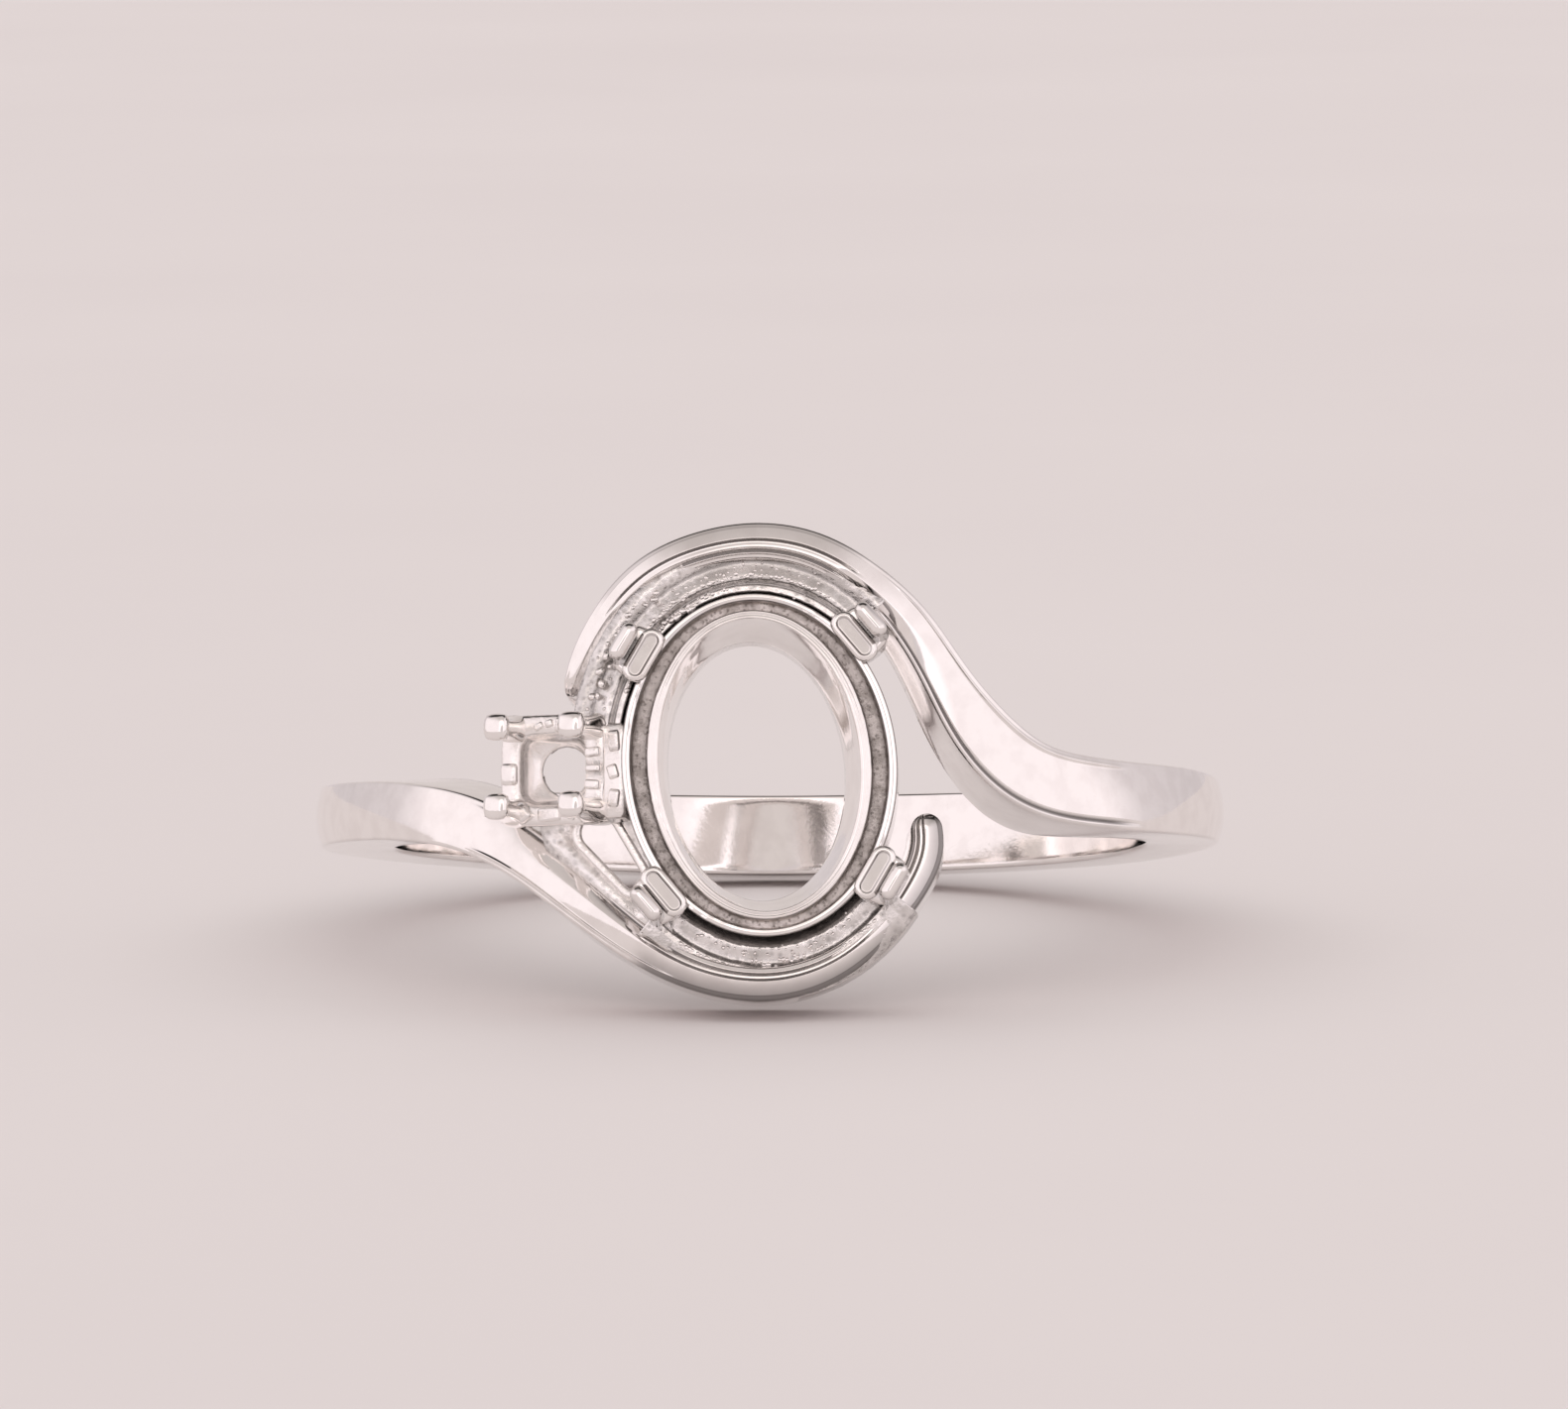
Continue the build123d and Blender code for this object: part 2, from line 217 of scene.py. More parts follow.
class Value:
    """A number or a vector in a node tree; a sum with it adds a node to the tree."""

    def __init__(self, recipe: "Recipe", plug: NodeSocket) -> None:
        """Holds a socket and the recipe of its tree."""
        self.recipe, self.plug = recipe, plug

    def do(self, operation: str, *terms: Any) -> "Value":
        """Result of one step of arithmetic on this value and others."""
        kind = "ShaderNodeVectorMath" if self.plug.type == "VECTOR" else "ShaderNodeMath"
        return self.recipe.make(kind, dict(enumerate((self, *terms))), operation=operation)

    def __add__(self, other: Any) -> "Value":
        """Sum of two numbers or vectors."""
        return self.do("ADD", other)

    def __sub__(self, other: Any) -> "Value":
        """Difference of two numbers or vectors."""
        return self.do("SUBTRACT", other)

    def __rsub__(self, other: float) -> "Value":
        """Difference of a plain number and this one."""
        return self.recipe.make("ShaderNodeMath", {0: other, 1: self}, operation="SUBTRACT")

    def __mul__(self, other: Any) -> "Value":
        """Product of two numbers."""
        return self.do("MULTIPLY", other)

    def scaled(self, by: Any) -> "Value":
        """Vector made longer by a number."""
        return self.recipe.make("ShaderNodeVectorMath", {0: self, "Scale": by}, operation="SCALE")

    def __truediv__(self, other: Any) -> "Value":
        """Quotient of two numbers."""
        return self.do("DIVIDE", other)

    def __pow__(self, other: Any) -> "Value":
        """Power of a number."""
        return self.do("POWER", other)

    def __matmul__(self, other: Any) -> "Value":
        """Dot product of two vectors."""
        return self.do("DOT_PRODUCT", other)

    def __abs__(self) -> "Value":
        """Size of a number without its sign."""
        return self.do("ABSOLUTE")

    def clamped(self) -> "Value":
        """The number, held between 0 and 1."""
        return self.recipe.make("ShaderNodeClamp", {0: self})

    def parts(self) -> list["Value"]:
        """The three parts of a vector."""
        return self.recipe.outputs(self.recipe.put("ShaderNodeSeparateXYZ", {0: self}))


class Recipe:
    """Builds one node tree, of geometry, of a shader group or of a finish."""

    def __init__(
        self, name: str = "", family: str = "GeometryNodeTree", tree: NodeTree | None = None
    ) -> None:
        """Starts an empty group, or works on a tree that is there.

        Args:
            name: the new group's name.
            family: the new group's kind.
            tree: the tree that is there.
        """
        self.tree = tree or bpy.data.node_groups.new(name, family)
        if tree is None:
            self.entry = self.tree.nodes.new("NodeGroupInput")
            self.exit = self.tree.nodes.new("NodeGroupOutput")
            if family == "GeometryNodeTree":
                self.start = self.offer(geometry=Socket.GEOMETRY)[0]

    def offer(self, **inputs: Any) -> list[Value]:
        """Adds named inputs to the group.

        Args:
            inputs: each input's usual value, or its kind where it has none.

        Returns:
            Each input's value inside the tree.
        """
        for name, usual in inputs.items():
            kind = usual
            if not isinstance(usual, Socket):
                kind = Socket.COUNT if isinstance(usual, int) else Socket.NUMBER
            item = self.tree.interface.new_socket(name, in_out="INPUT", socket_type=kind.value)
            if usual is not kind:
                item.default_value = usual
        return [Value(self, self.entry.outputs[name]) for name in inputs]

    def give(self, **outputs: Value) -> NodeTree:
        """Adds named outputs to the group.

        Args:
            outputs: what feeds each output.

        Returns:
            The finished tree.
        """
        for name, value in outputs.items():
            kind = Socket.GEOMETRY if value.plug.type == "GEOMETRY" else Socket.NUMBER
            self.tree.interface.new_socket(name, in_out="OUTPUT", socket_type=kind.value)
            self.tree.links.new(value.plug, self.exit.inputs[name])
        return self.tree

    def wire(self, node: Node, wires: dict[Any, Any]) -> None:
        """Sets a node's inputs.

        Args:
            node: the node.
            wires: what feeds each input, by its name or number: a value of the
                tree or a plain one.
        """
        for key, value in wires.items():
            named = (s for s in node.inputs if s.name == key and s.enabled)
            plug = node.inputs[key] if isinstance(key, int) else next(named)
            if isinstance(value, Value):
                self.tree.links.new(value.plug, plug)
            else:
                plug.default_value = value

    def put(self, kind: str, wires: dict[Any, Any], **settings: Any) -> Node:
        """Adds a node.

        Args:
            kind: the node's type.
            wires: what feeds each input.
            settings: the node's own settings.

        Returns:
            The new node.
        """
        node = self.tree.nodes.new(kind)
        for key, value in settings.items():
            setattr(node, key, value)
        self.wire(node, wires)
        return node

    def outputs(self, node: Node) -> list[Value]:
        """Values that a node puts out."""
        return [Value(self, plug) for plug in node.outputs if plug.enabled]

    def make(
        self, kind: str, wires: dict[Any, Any] | None = None, out: str = "", **settings: Any
    ) -> Value:
        """Adds a node for one of its results.

        Args:
            kind: the node's type.
            wires: what feeds each input.
            out: the result's name, where it isn't the node's first.
            settings: the node's own settings.

        Returns:
            The result.
        """
        node = self.put(kind, wires or {}, **settings)
        return Value(self, node.outputs[out]) if out else self.outputs(node)[0]

    def join(self, x: Any, y: Any, z: Any) -> Value:
        """A vector of three parts."""
        return self.make("ShaderNodeCombineXYZ", {0: x, 1: y, 2: z})

    def mix(self, share: Value, first: Any, second: Any) -> Value:
        """A blend of two colours."""
        wires = {"Factor": share, "A": first, "B": second}
        return self.make("ShaderNodeMix", wires, data_type="RGBA")

    def noise(self, scale: Any, detail: float, roughness: float = 0.5, **wires: Any) -> Value:
        """A cloudy pattern of values from 0 to 1."""
        wires |= {"Scale": scale, "Detail": detail, "Roughness": roughness}
        return self.make("ShaderNodeTexNoise", wires, noise_dimensions="4D" if "W" in wires else "3D")

    def mesh_of(self, helper: Value) -> Value:
        """The mesh of a helper object."""
        return self.make("GeometryNodeObjectInfo", {"Object": helper}, "Geometry")

    def points_of(self, source: Value) -> Value:
        """How many points a mesh has."""
        return self.make("GeometryNodeAttributeDomainSize", {0: source}, component="MESH")

    def read(self, name: str) -> Value:
        """Reads the points in hand.

        Args:
            name: the name of the values, or "position" for the places.

        Returns:
            The values.
        """
        if name == "position":
            return self.make("GeometryNodeInputPosition")
        return self.make("GeometryNodeInputNamedAttribute", {"Name": name}, data_type="FLOAT_VECTOR")

    def look_up(self, source: Value, name: str, index: Value) -> Value:
        """Named values of another mesh's numbered point."""
        wires = {"Geometry": source, "Value": self.read(name), "Index": index}
        return self.make("GeometryNodeSampleIndex", wires, data_type="FLOAT_VECTOR", domain="POINT")

    def move(self, geometry: Value, **wires: Value) -> Value:
        """A geometry whose points have a new Position or an Offset."""
        return self.make("GeometryNodeSetPosition", {"Geometry": geometry, **wires})

    def keep_painted_shade(self, geometry: Value, recess: Value) -> Value:
        """A geometry that carries its painted shade: how far its metal is darkened."""
        wires = {"Geometry": geometry, "Name": "recess", "Value": recess}
        return self.make("GeometryNodeStoreNamedAttribute", wires, data_type="FLOAT", domain="POINT")

    def cells(self, rows: Value, columns: Value) -> tuple[Value, Value, Value]:
        """Makes a sheet of points and numbers them.

        Args:
            rows: how many sections the sheet has.
            columns: how many points a closed section has.

        Returns:
            The sheet, the section's number and the point's number within it.
        """
        wide = columns + 1.0
        wires = {"Size X": 1.0, "Size Y": 1.0, "Vertices X": rows, "Vertices Y": wide}
        sheet = self.make("GeometryNodeMeshGrid", wires)
        index = self.make("GeometryNodeInputIndex")
        row = ((index + 0.5) / wide).do("FLOOR")
        return sheet, row, (index - row * wide).do("MODULO", columns)

    def finish(self, geometry: Value) -> NodeTree:
        """Ends a geometry tree in real faces with the material of its metal input.

        Args:
            geometry: the shape.

        Returns:
            The finished tree.
        """
        real = self.make("GeometryNodeRealizeInstances", {0: geometry})
        smooth = self.make("GeometryNodeSetShadeSmooth", {"Geometry": real})
        wires = {"Geometry": smooth, "Material": self.offer(metal=Socket.MATERIAL)[0]}
        return self.give(geometry=self.make("GeometryNodeSetMaterial", wires))


def link_object(name: str, content: Any) -> Object:
    """Puts a mesh, a camera or a light in the scene.

    Args:
        name: the object's name.
        content: the mesh, camera or light.

    Returns:
        The object.
    """
    holder = bpy.data.objects.new(name, content)
    bpy.context.scene.collection.objects.link(holder)
    return holder


def freeze(name: str, holders: list[Object]) -> Mesh:
    """Keeps the finished mesh of the first object and removes all of them.

    Args:
        name: the mesh's name.
        holders: the object that holds the modifier, and its helpers.

    Returns:
        The plain mesh.
    """
    bpy.context.view_layer.update()
    graph = bpy.context.evaluated_depsgraph_get()
    mesh = bpy.data.meshes.new_from_object(holders[0].evaluated_get(graph))
    mesh.name = name
    holders[0].modifiers.clear()
    for holder in holders:
        bpy.data.objects.remove(holder)
    return mesh


def close_up(mesh: Mesh) -> None:
    """Merges doubled points, closes open ends and turns the faces outwards.

    Args:
        mesh: the mesh to mend.
    """
    work = bmesh.new()
    work.from_mesh(mesh)
    bmesh.ops.remove_doubles(work, verts=work.verts, dist=MERGE)
    bmesh.ops.dissolve_degenerate(work, edges=work.edges, dist=MERGE / 2)
    bmesh.ops.holes_fill(work, edges=[e for e in work.edges if e.is_boundary], sides=0)
    bmesh.ops.recalc_face_normals(work, faces=work.faces)
    for face in work.faces:
        face.smooth = True
    work.to_mesh(mesh)
    work.free()


def carve(mesh: Mesh, room: Mesh) -> Mesh:
    """Cuts a room out of a closed mesh.

    Args:
        mesh: the mesh to cut.
        room: the closed shape of the room.

    Returns:
        The cut mesh.
    """
    close_up(mesh)
    close_up(room)
    holders = [link_object(mesh.name, mesh), link_object("room", room)]
    modifier = holders[0].modifiers.new("carve", "BOOLEAN")
    modifier.operation, modifier.solver, modifier.object = "DIFFERENCE", "EXACT", holders[1]
    return freeze(mesh.name, holders)


def dress(mesh: Mesh, metal: Material, strips: set[int], count: int) -> None:
    """Gives some strips of a led section a second finish.

    Args:
        mesh: the mesh, with its faces still in the tree's order.
        metal: the second finish.
        strips: numbers of the section's sides that have it.
        count: how many sides the section has.
    """
    mesh.materials.append(metal)
    for face in mesh.polygons:
        face.material_index = int(face.index % count in strips)


def swept_bar_tree() -> NodeTree:
    """Builds the tree that sweeps a drafted, domed section along a rail.

    Returns:
        The tree.
    """
    r = Recipe("swept_bar")
    section, finger, edge, heel, draft = r.offer(
        section=Socket.OBJECT, finger_radius=8.65, edge_round=0.08, heel_round=0.12, draft=0.3
    )
    rail, rows = r.start, r.mesh_of(section)
    sheet, row, column = r.cells(r.points_of(rail), r.points_of(rows))
    crest, across, up, arcs = (r.look_up(rail, k, row) for k in ("position", "across", "up", "arcs"))
    half, crown, flare = r.look_up(rail, "shape", row).parts()
    ridge, full, peak = r.look_up(rail, "dome", row).parts()
    tilt = r.look_up(rail, "tilt", row).parts()[0]
    side, down, inset = r.look_up(rows, "position", column).parts()
    drop, lift, _ = r.look_up(rows, "trim", column).parts()
    relief = (r.look_up(rows, "relief", column) @ arcs) * full
    # painted shade from the section's tint, weighted by the arcs
    tint = r.look_up(rows, "tint", column) @ arcs
    soft, sign = edge * full, side.do("SIGN")
    flared = (side * flare).do("MAXIMUM", 0.0) * sign
    reach = half * side - inset * soft * sign + draft * down * flared * full
    off = side - ridge
    fall = abs(off / (1.0 - ridge * off.do("SIGN"))) ** peak
    top = crest + across.scaled(reach) - up.scaled(crown * fall - relief - tilt * reach)
    x, _, z = top.parts()
    flat = r.join(x, 0.0, z)
    rise = flat @ up
    room = finger * finger - (flat @ flat - rise * rise)
    depth = rise - room.do("MAXIMUM", 0.0).do("SQRT")
    round_off = drop * soft
    below = (depth - round_off) * down + round_off - lift * heel
    bar = r.move(sheet, Position=top - up.scaled(below))
    return r.finish(r.keep_painted_shade(bar, tint))


def turned_wall_tree() -> NodeTree:
    """Builds the tree that leads a section round an oval or a rounded square.

    Returns:
        The tree.
    """
    r = Recipe("turned_wall")
    section, *size, start, sweep, steps, twist, finger, grain, scale, seed = r.offer(
        section=Socket.OBJECT, half_width=3.0, half_length=4.0, start=0.0, sweep=2 * math.pi,
        steps=180, twist=0.0, finger_radius=0.0, grain_depth=0.0, grain_scale=4.0, seed=1.0,
    )
    rows = r.mesh_of(section)
    sheet, row, column = r.cells(steps, r.points_of(rows))
    inset, share, height = r.look_up(rows, "position", column).parts()
    power, rough, painted_dark = r.look_up(rows, "kind", column).parts()
    angle = start + sweep * (row / (steps - 1.0))
    plan = []
    for word, half, less in zip(("COSINE", "SINE"), size, (inset, inset * share)):
        wave = angle.do(word)
        plan.append((half - less) * (abs(wave) ** power * wave.do("SIGN")))
    wires = {"Vector": r.join(*plan, 0.0), "Angle": twist}
    turned = r.make("ShaderNodeVectorRotate", wires, rotation_type="Z_AXIS")
    x, y, _ = (turned + r.look_up(rows, "slide", column)).parts()
    floor = (finger * finger - x * x).do("MAXIMUM", 0.0).do("SQRT")
    wall = r.move(sheet, Position=r.join(x, y, height.do("MAXIMUM", floor)))
    # painted shade: a positive share darkens the whole way round, a negative one darkens the sides and
    # fades away towards the ends
    fading = painted_dark * -1.0 * abs(angle.do("COSINE"))
    wall = r.keep_painted_shade(wall, painted_dark.do("MAXIMUM", fading))
    merged = r.make("GeometryNodeMergeByDistance", {"Geometry": wall, "Distance": SEAM_MERGE})
    swell = (r.noise(scale, 3.0, 0.6, Vector=r.read("position"), W=seed) - 0.5) * grain * rough
    normal = r.make("GeometryNodeInputNormal")
    return r.finish(r.move(merged, Offset=normal.scaled(swell)))


def repeated_tree() -> NodeTree:
    """Builds the tree that repeats a part at points that each give its turn.

    Returns:
        The tree.
    """
    r = Recipe("repeated_part")
    part = r.mesh_of(r.offer(part=Socket.OBJECT)[0])
    wires = {"Points": r.start, "Instance": part, "Rotation": r.read("turn"), "Scale": r.read("size")}
    return r.finish(r.make("GeometryNodeInstanceOnPoints", wires))


def beads_tree() -> NodeTree:
    """Builds the tree that scatters small solder beads over an upper surface.

    Returns:
        The tree.
    """
    r = Recipe("solder_beads")
    density, smallest, largest, seed = r.offer(density=10.0, smallest=0.02, largest=0.06, seed=1)
    upward = r.make("GeometryNodeInputNormal").parts()[2].do("GREATER_THAN", 0.75)
    wires = {"Mesh": r.start, "Selection": upward, "Density": density, "Seed": seed}
    points = r.make("GeometryNodeDistributePointsOnFaces", wires)
    bead = r.make("GeometryNodeMeshIcoSphere", {"Radius": 1.0, "Subdivisions": 2})
    wires = {"Min": smallest, "Max": largest, "Seed": seed}
    size = r.make("FunctionNodeRandomValue", wires, data_type="FLOAT")
    wires = {"Points": points, "Instance": bead, "Scale": size}
    return r.finish(r.make("GeometryNodeInstanceOnPoints", wires))


def framed_path_tree() -> NodeTree:
    """Builds the tree that leads an upright rounded bar along a closed path.

    Returns:
        The tree.
    """
    r = Recipe("framed_path")
    width, height, soft = r.offer(width=0.3, height=0.7, corner=0.06)
    line = r.make("GeometryNodeMeshToCurve", {"Mesh": r.start})
    upright = r.make("GeometryNodeSetCurveNormal", {"Curve": line}, mode="Z_UP")
    bar = r.make("GeometryNodeCurvePrimitiveQuadrilateral", {"Width": width, "Height": height})
    bar = r.make("GeometryNodeFilletCurve", {"Curve": bar, "Radius": soft, "Count": 4}, mode="POLY")
    wires = {"Curve": upright, "Profile Curve": bar}
    return r.finish(r.make("GeometryNodeCurveToMesh", wires))


def scratches_group() -> NodeTree:
    """Builds the shader group of fine polishing lines and their soft haze.

    Returns:
        The group.
    """
    r = Recipe("fine_scratches", "ShaderNodeTree")
    place, scale, length, amount = r.offer(place=Socket.VECTOR, scale=3.0, length=14.0, amount=0.4)
    lines = None
    for turn in (0.4, 1.5, 2.5):
        wires = {"Vector": place, "Rotation": (0.3 * turn, 0.9, turn)}
        x, y, z = r.make("ShaderNodeMapping", wires).parts()
        noise = r.noise(scale, 2.0, 0.7, Vector=r.join(x / length, y * length, z))
        line = ((noise - 0.62) * 6.0).clamped()  # only the peaks of the noise draw a line
        lines = lines.do("MAXIMUM", line) if lines else line
    haze = r.noise(0.9, 3.0, Vector=place)
    return r.give(lines=lines * haze * amount, haze=haze)


def grain_group() -> NodeTree:
    """Builds the shader group of cast grain: bumps, pits and patchy tone.

    Returns:
        The group.
    """
    r = Recipe("cast_grain", "ShaderNodeTree")
    place, scale, pits = r.offer(place=Socket.VECTOR, scale=12.0, pits=0.5)
    swell = r.noise(scale, 5.0, 0.65, Vector=place)
    wires = {"Vector": place, "Scale": scale * 0.8, "Smoothness": 0.4}
    hole = (1.0 - r.make("ShaderNodeTexVoronoi", wires, feature="SMOOTH_F1") * 2.2).clamped()
    tone = (r.noise(scale * 0.22, 4.0, Vector=place) * 5.0 - 1.9).clamped()
    return r.give(height=swell - hole * pits, tone=tone, pits=hole)


@dataclass(frozen=True)
class SilverFinish:
    """One finish of the silver: its tones, the dark colour its painted shade goes to, and how rough and
    grained it is.
    """

    name: str
    light: Colour = (0.95, 0.925, 0.905)
    dark: Colour = (0.90, 0.87, 0.85)
    # colour that the painted shade darkens the metal towards
    painted_dark: Colour = (0.16, 0.15, 0.145)
    roughness: float = 0.045
    haze: float = 0.035
    scratches: float = 0.22
    grain_scale: float = 9.0
    pits: float = 0.2
    pit_shade: float = 0.0
    grain_depth: float = 0.012
    grain_strength: float = 0.07

    def make(self, scratches: NodeTree, grain: NodeTree) -> Material:
        """Builds the finish's material.

        Args:
            scratches: the group of polishing lines.
            grain: the group of cast grain.

        Returns:
            The material.
        """
        metal = bpy.data.materials.new(self.name)
        metal.use_nodes = True
        r = Recipe(tree=metal.node_tree)
        where = r.make("ShaderNodeTexCoord", out="Object").scaled(1 / MM)
        wires = {"place": where, "amount": self.scratches}
        lines, haze = r.outputs(r.put("ShaderNodeGroup", wires, node_tree=scratches))
        wires = {"place": where, "scale": self.grain_scale, "pits": self.pits}
        height, tone, pits = r.outputs(r.put("ShaderNodeGroup", wires, node_tree=grain))
        # painted shade: the recess attribute, and the pits where they are darker, pull the tone towards
        # the painted dark colour
        recess = r.make("ShaderNodeAttribute", out="Fac", attribute_name="recess")
        tone = r.mix(tone, (*self.dark, 1), (*self.light, 1))
        tone = r.mix(recess.do("MAXIMUM", pits * self.pit_shade), tone, (*self.painted_dark, 1))
        bump = {"Height": height, "Strength": self.grain_strength, "Distance": self.grain_depth * MM}
        surface = {
            "Metallic": 1.0,
            "Base Color": tone,
            "Roughness": haze * self.haze + self.roughness + lines,
            "Normal": r.make("ShaderNodeBump", bump),
        }
        r.wire(r.tree.nodes["Principled BSDF"], surface)
        return metal


class Coat(Enum):
    """The finishes that the ring's silver has."""

    POLISHED = SilverFinish("polished_silver")
    SATIN = SilverFinish(
        "satin_silver", light=(0.95, 0.90, 0.87), dark=(0.60, 0.56, 0.53),
        painted_dark=(0.17, 0.155, 0.145), roughness=0.26, haze=0.16, grain_scale=14.0, pits=0.6,
        pit_shade=0.7, grain_depth=0.04, grain_strength=0.7,
    )
    SOLDER = SilverFinish(
        "solder_silver", light=(0.93, 0.905, 0.89), dark=(0.70, 0.68, 0.66), roughness=0.1,
        haze=0.16, grain_scale=7.0, pits=0.5, pit_shade=0.5, grain_depth=0.03, grain_strength=0.5,
    )
    BRIGHT = SilverFinish("bright_solder", roughness=0.1, grain_depth=0.03, grain_strength=0.4)
    # lighter tones than the polished silver: painted light that offsets the shade inside the small cup;
    # its roughness is the metal's own
    SOFT = SilverFinish(
        "soft_silver", light=(1.0, 0.975, 0.96), dark=(0.97, 0.94, 0.92), roughness=0.22
    )


@dataclass
class Workshop:
    """Turns finished ring meshes into pieces; holds the finishes and shared trees."""

    ring: RingFrame
    metals: dict[Coat, Material]
    wall: NodeTree = field(default_factory=turned_wall_tree)
    repeat: NodeTree = field(default_factory=repeated_tree)

    def piece(self, name: str, mesh: Mesh, place: Matrix | None = None) -> Object:
        """Closes a mesh, brings it into the row's frame and rides it on the body.

        Args:
            name: the piece's name.
            mesh: the mesh, in the ring's frame or in a frame of its own.
            place: the frame of its own within the ring's.

        Returns:
            The piece.
        """
        close_up(mesh)
        mesh.transform(self.ring.matrix @ (place or Matrix.Identity(4)))
        piece = link_object(name, mesh)
        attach(piece, BODY)
        log.info("%s: %d points, %d faces", name, len(mesh.vertices), len(mesh.polygons))
        return piece

    def repeated(
        self, name: str, part: Mesh, coat: Coat, spots: np.ndarray, turns: Any,
        sizes: np.ndarray | None = None,
    ) -> Mesh:
        """Repeats a part.

        Args:
            name: the new mesh's name.
            part: the part.
            coat: its finish.
            spots: a place for each copy.
            turns: each copy's turn about Z.
            sizes: each copy's size along its axes, where it isn't 1.

        Returns:
            The mesh of all copies.
        """
        sizes = np.ones_like(spots) if sizes is None else sizes
        places = point_rows(name + "_places", spots, turn=triple(0.0, 0.0, turns), size=sizes)
        return self.grow(name, self.repeat, coat, places, part=part)

    def grow(
        self, name: str, tree: NodeTree, coat: Coat, source: Mesh | None = None, **inputs: Any
    ) -> Mesh:
        """Runs a geometry tree and keeps the plain result.

        Args:
            name: the new mesh's name.
            tree: the geometry tree.
            coat: the finish of its faces.
            source: the mesh that the tree starts from, where it needs one.
            inputs: a value for each named input; a mesh goes in as an object.

        Returns:
            The finished mesh, still in the ring's frame.
        """
        holders = [link_object(name, source or point_rows("start", np.zeros((1, 3))))]
        modifier = holders[0].modifiers.new(name, "NODES")
        modifier.node_group = tree
        named = {i.name: i.identifier for i in tree.interface.items_tree if i.in_out == "INPUT"}
        for key, value in (inputs | {"metal": self.metals[coat]}).items():
            if isinstance(value, Mesh):
                value = link_object(value.name, value)
                holders.append(value)
            modifier[named[key]] = value
        mesh = freeze(name, holders)
        while mesh.materials and mesh.materials[0] is None:
            mesh.materials.pop(index=0)
        return mesh


def spokes(angles: np.ndarray) -> np.ndarray:
    """Unit vectors out of the finger at angles in degrees from the oval setting."""
    turn = np.radians(angles)
    return triple(np.sin(turn), 0.0, np.cos(turn))


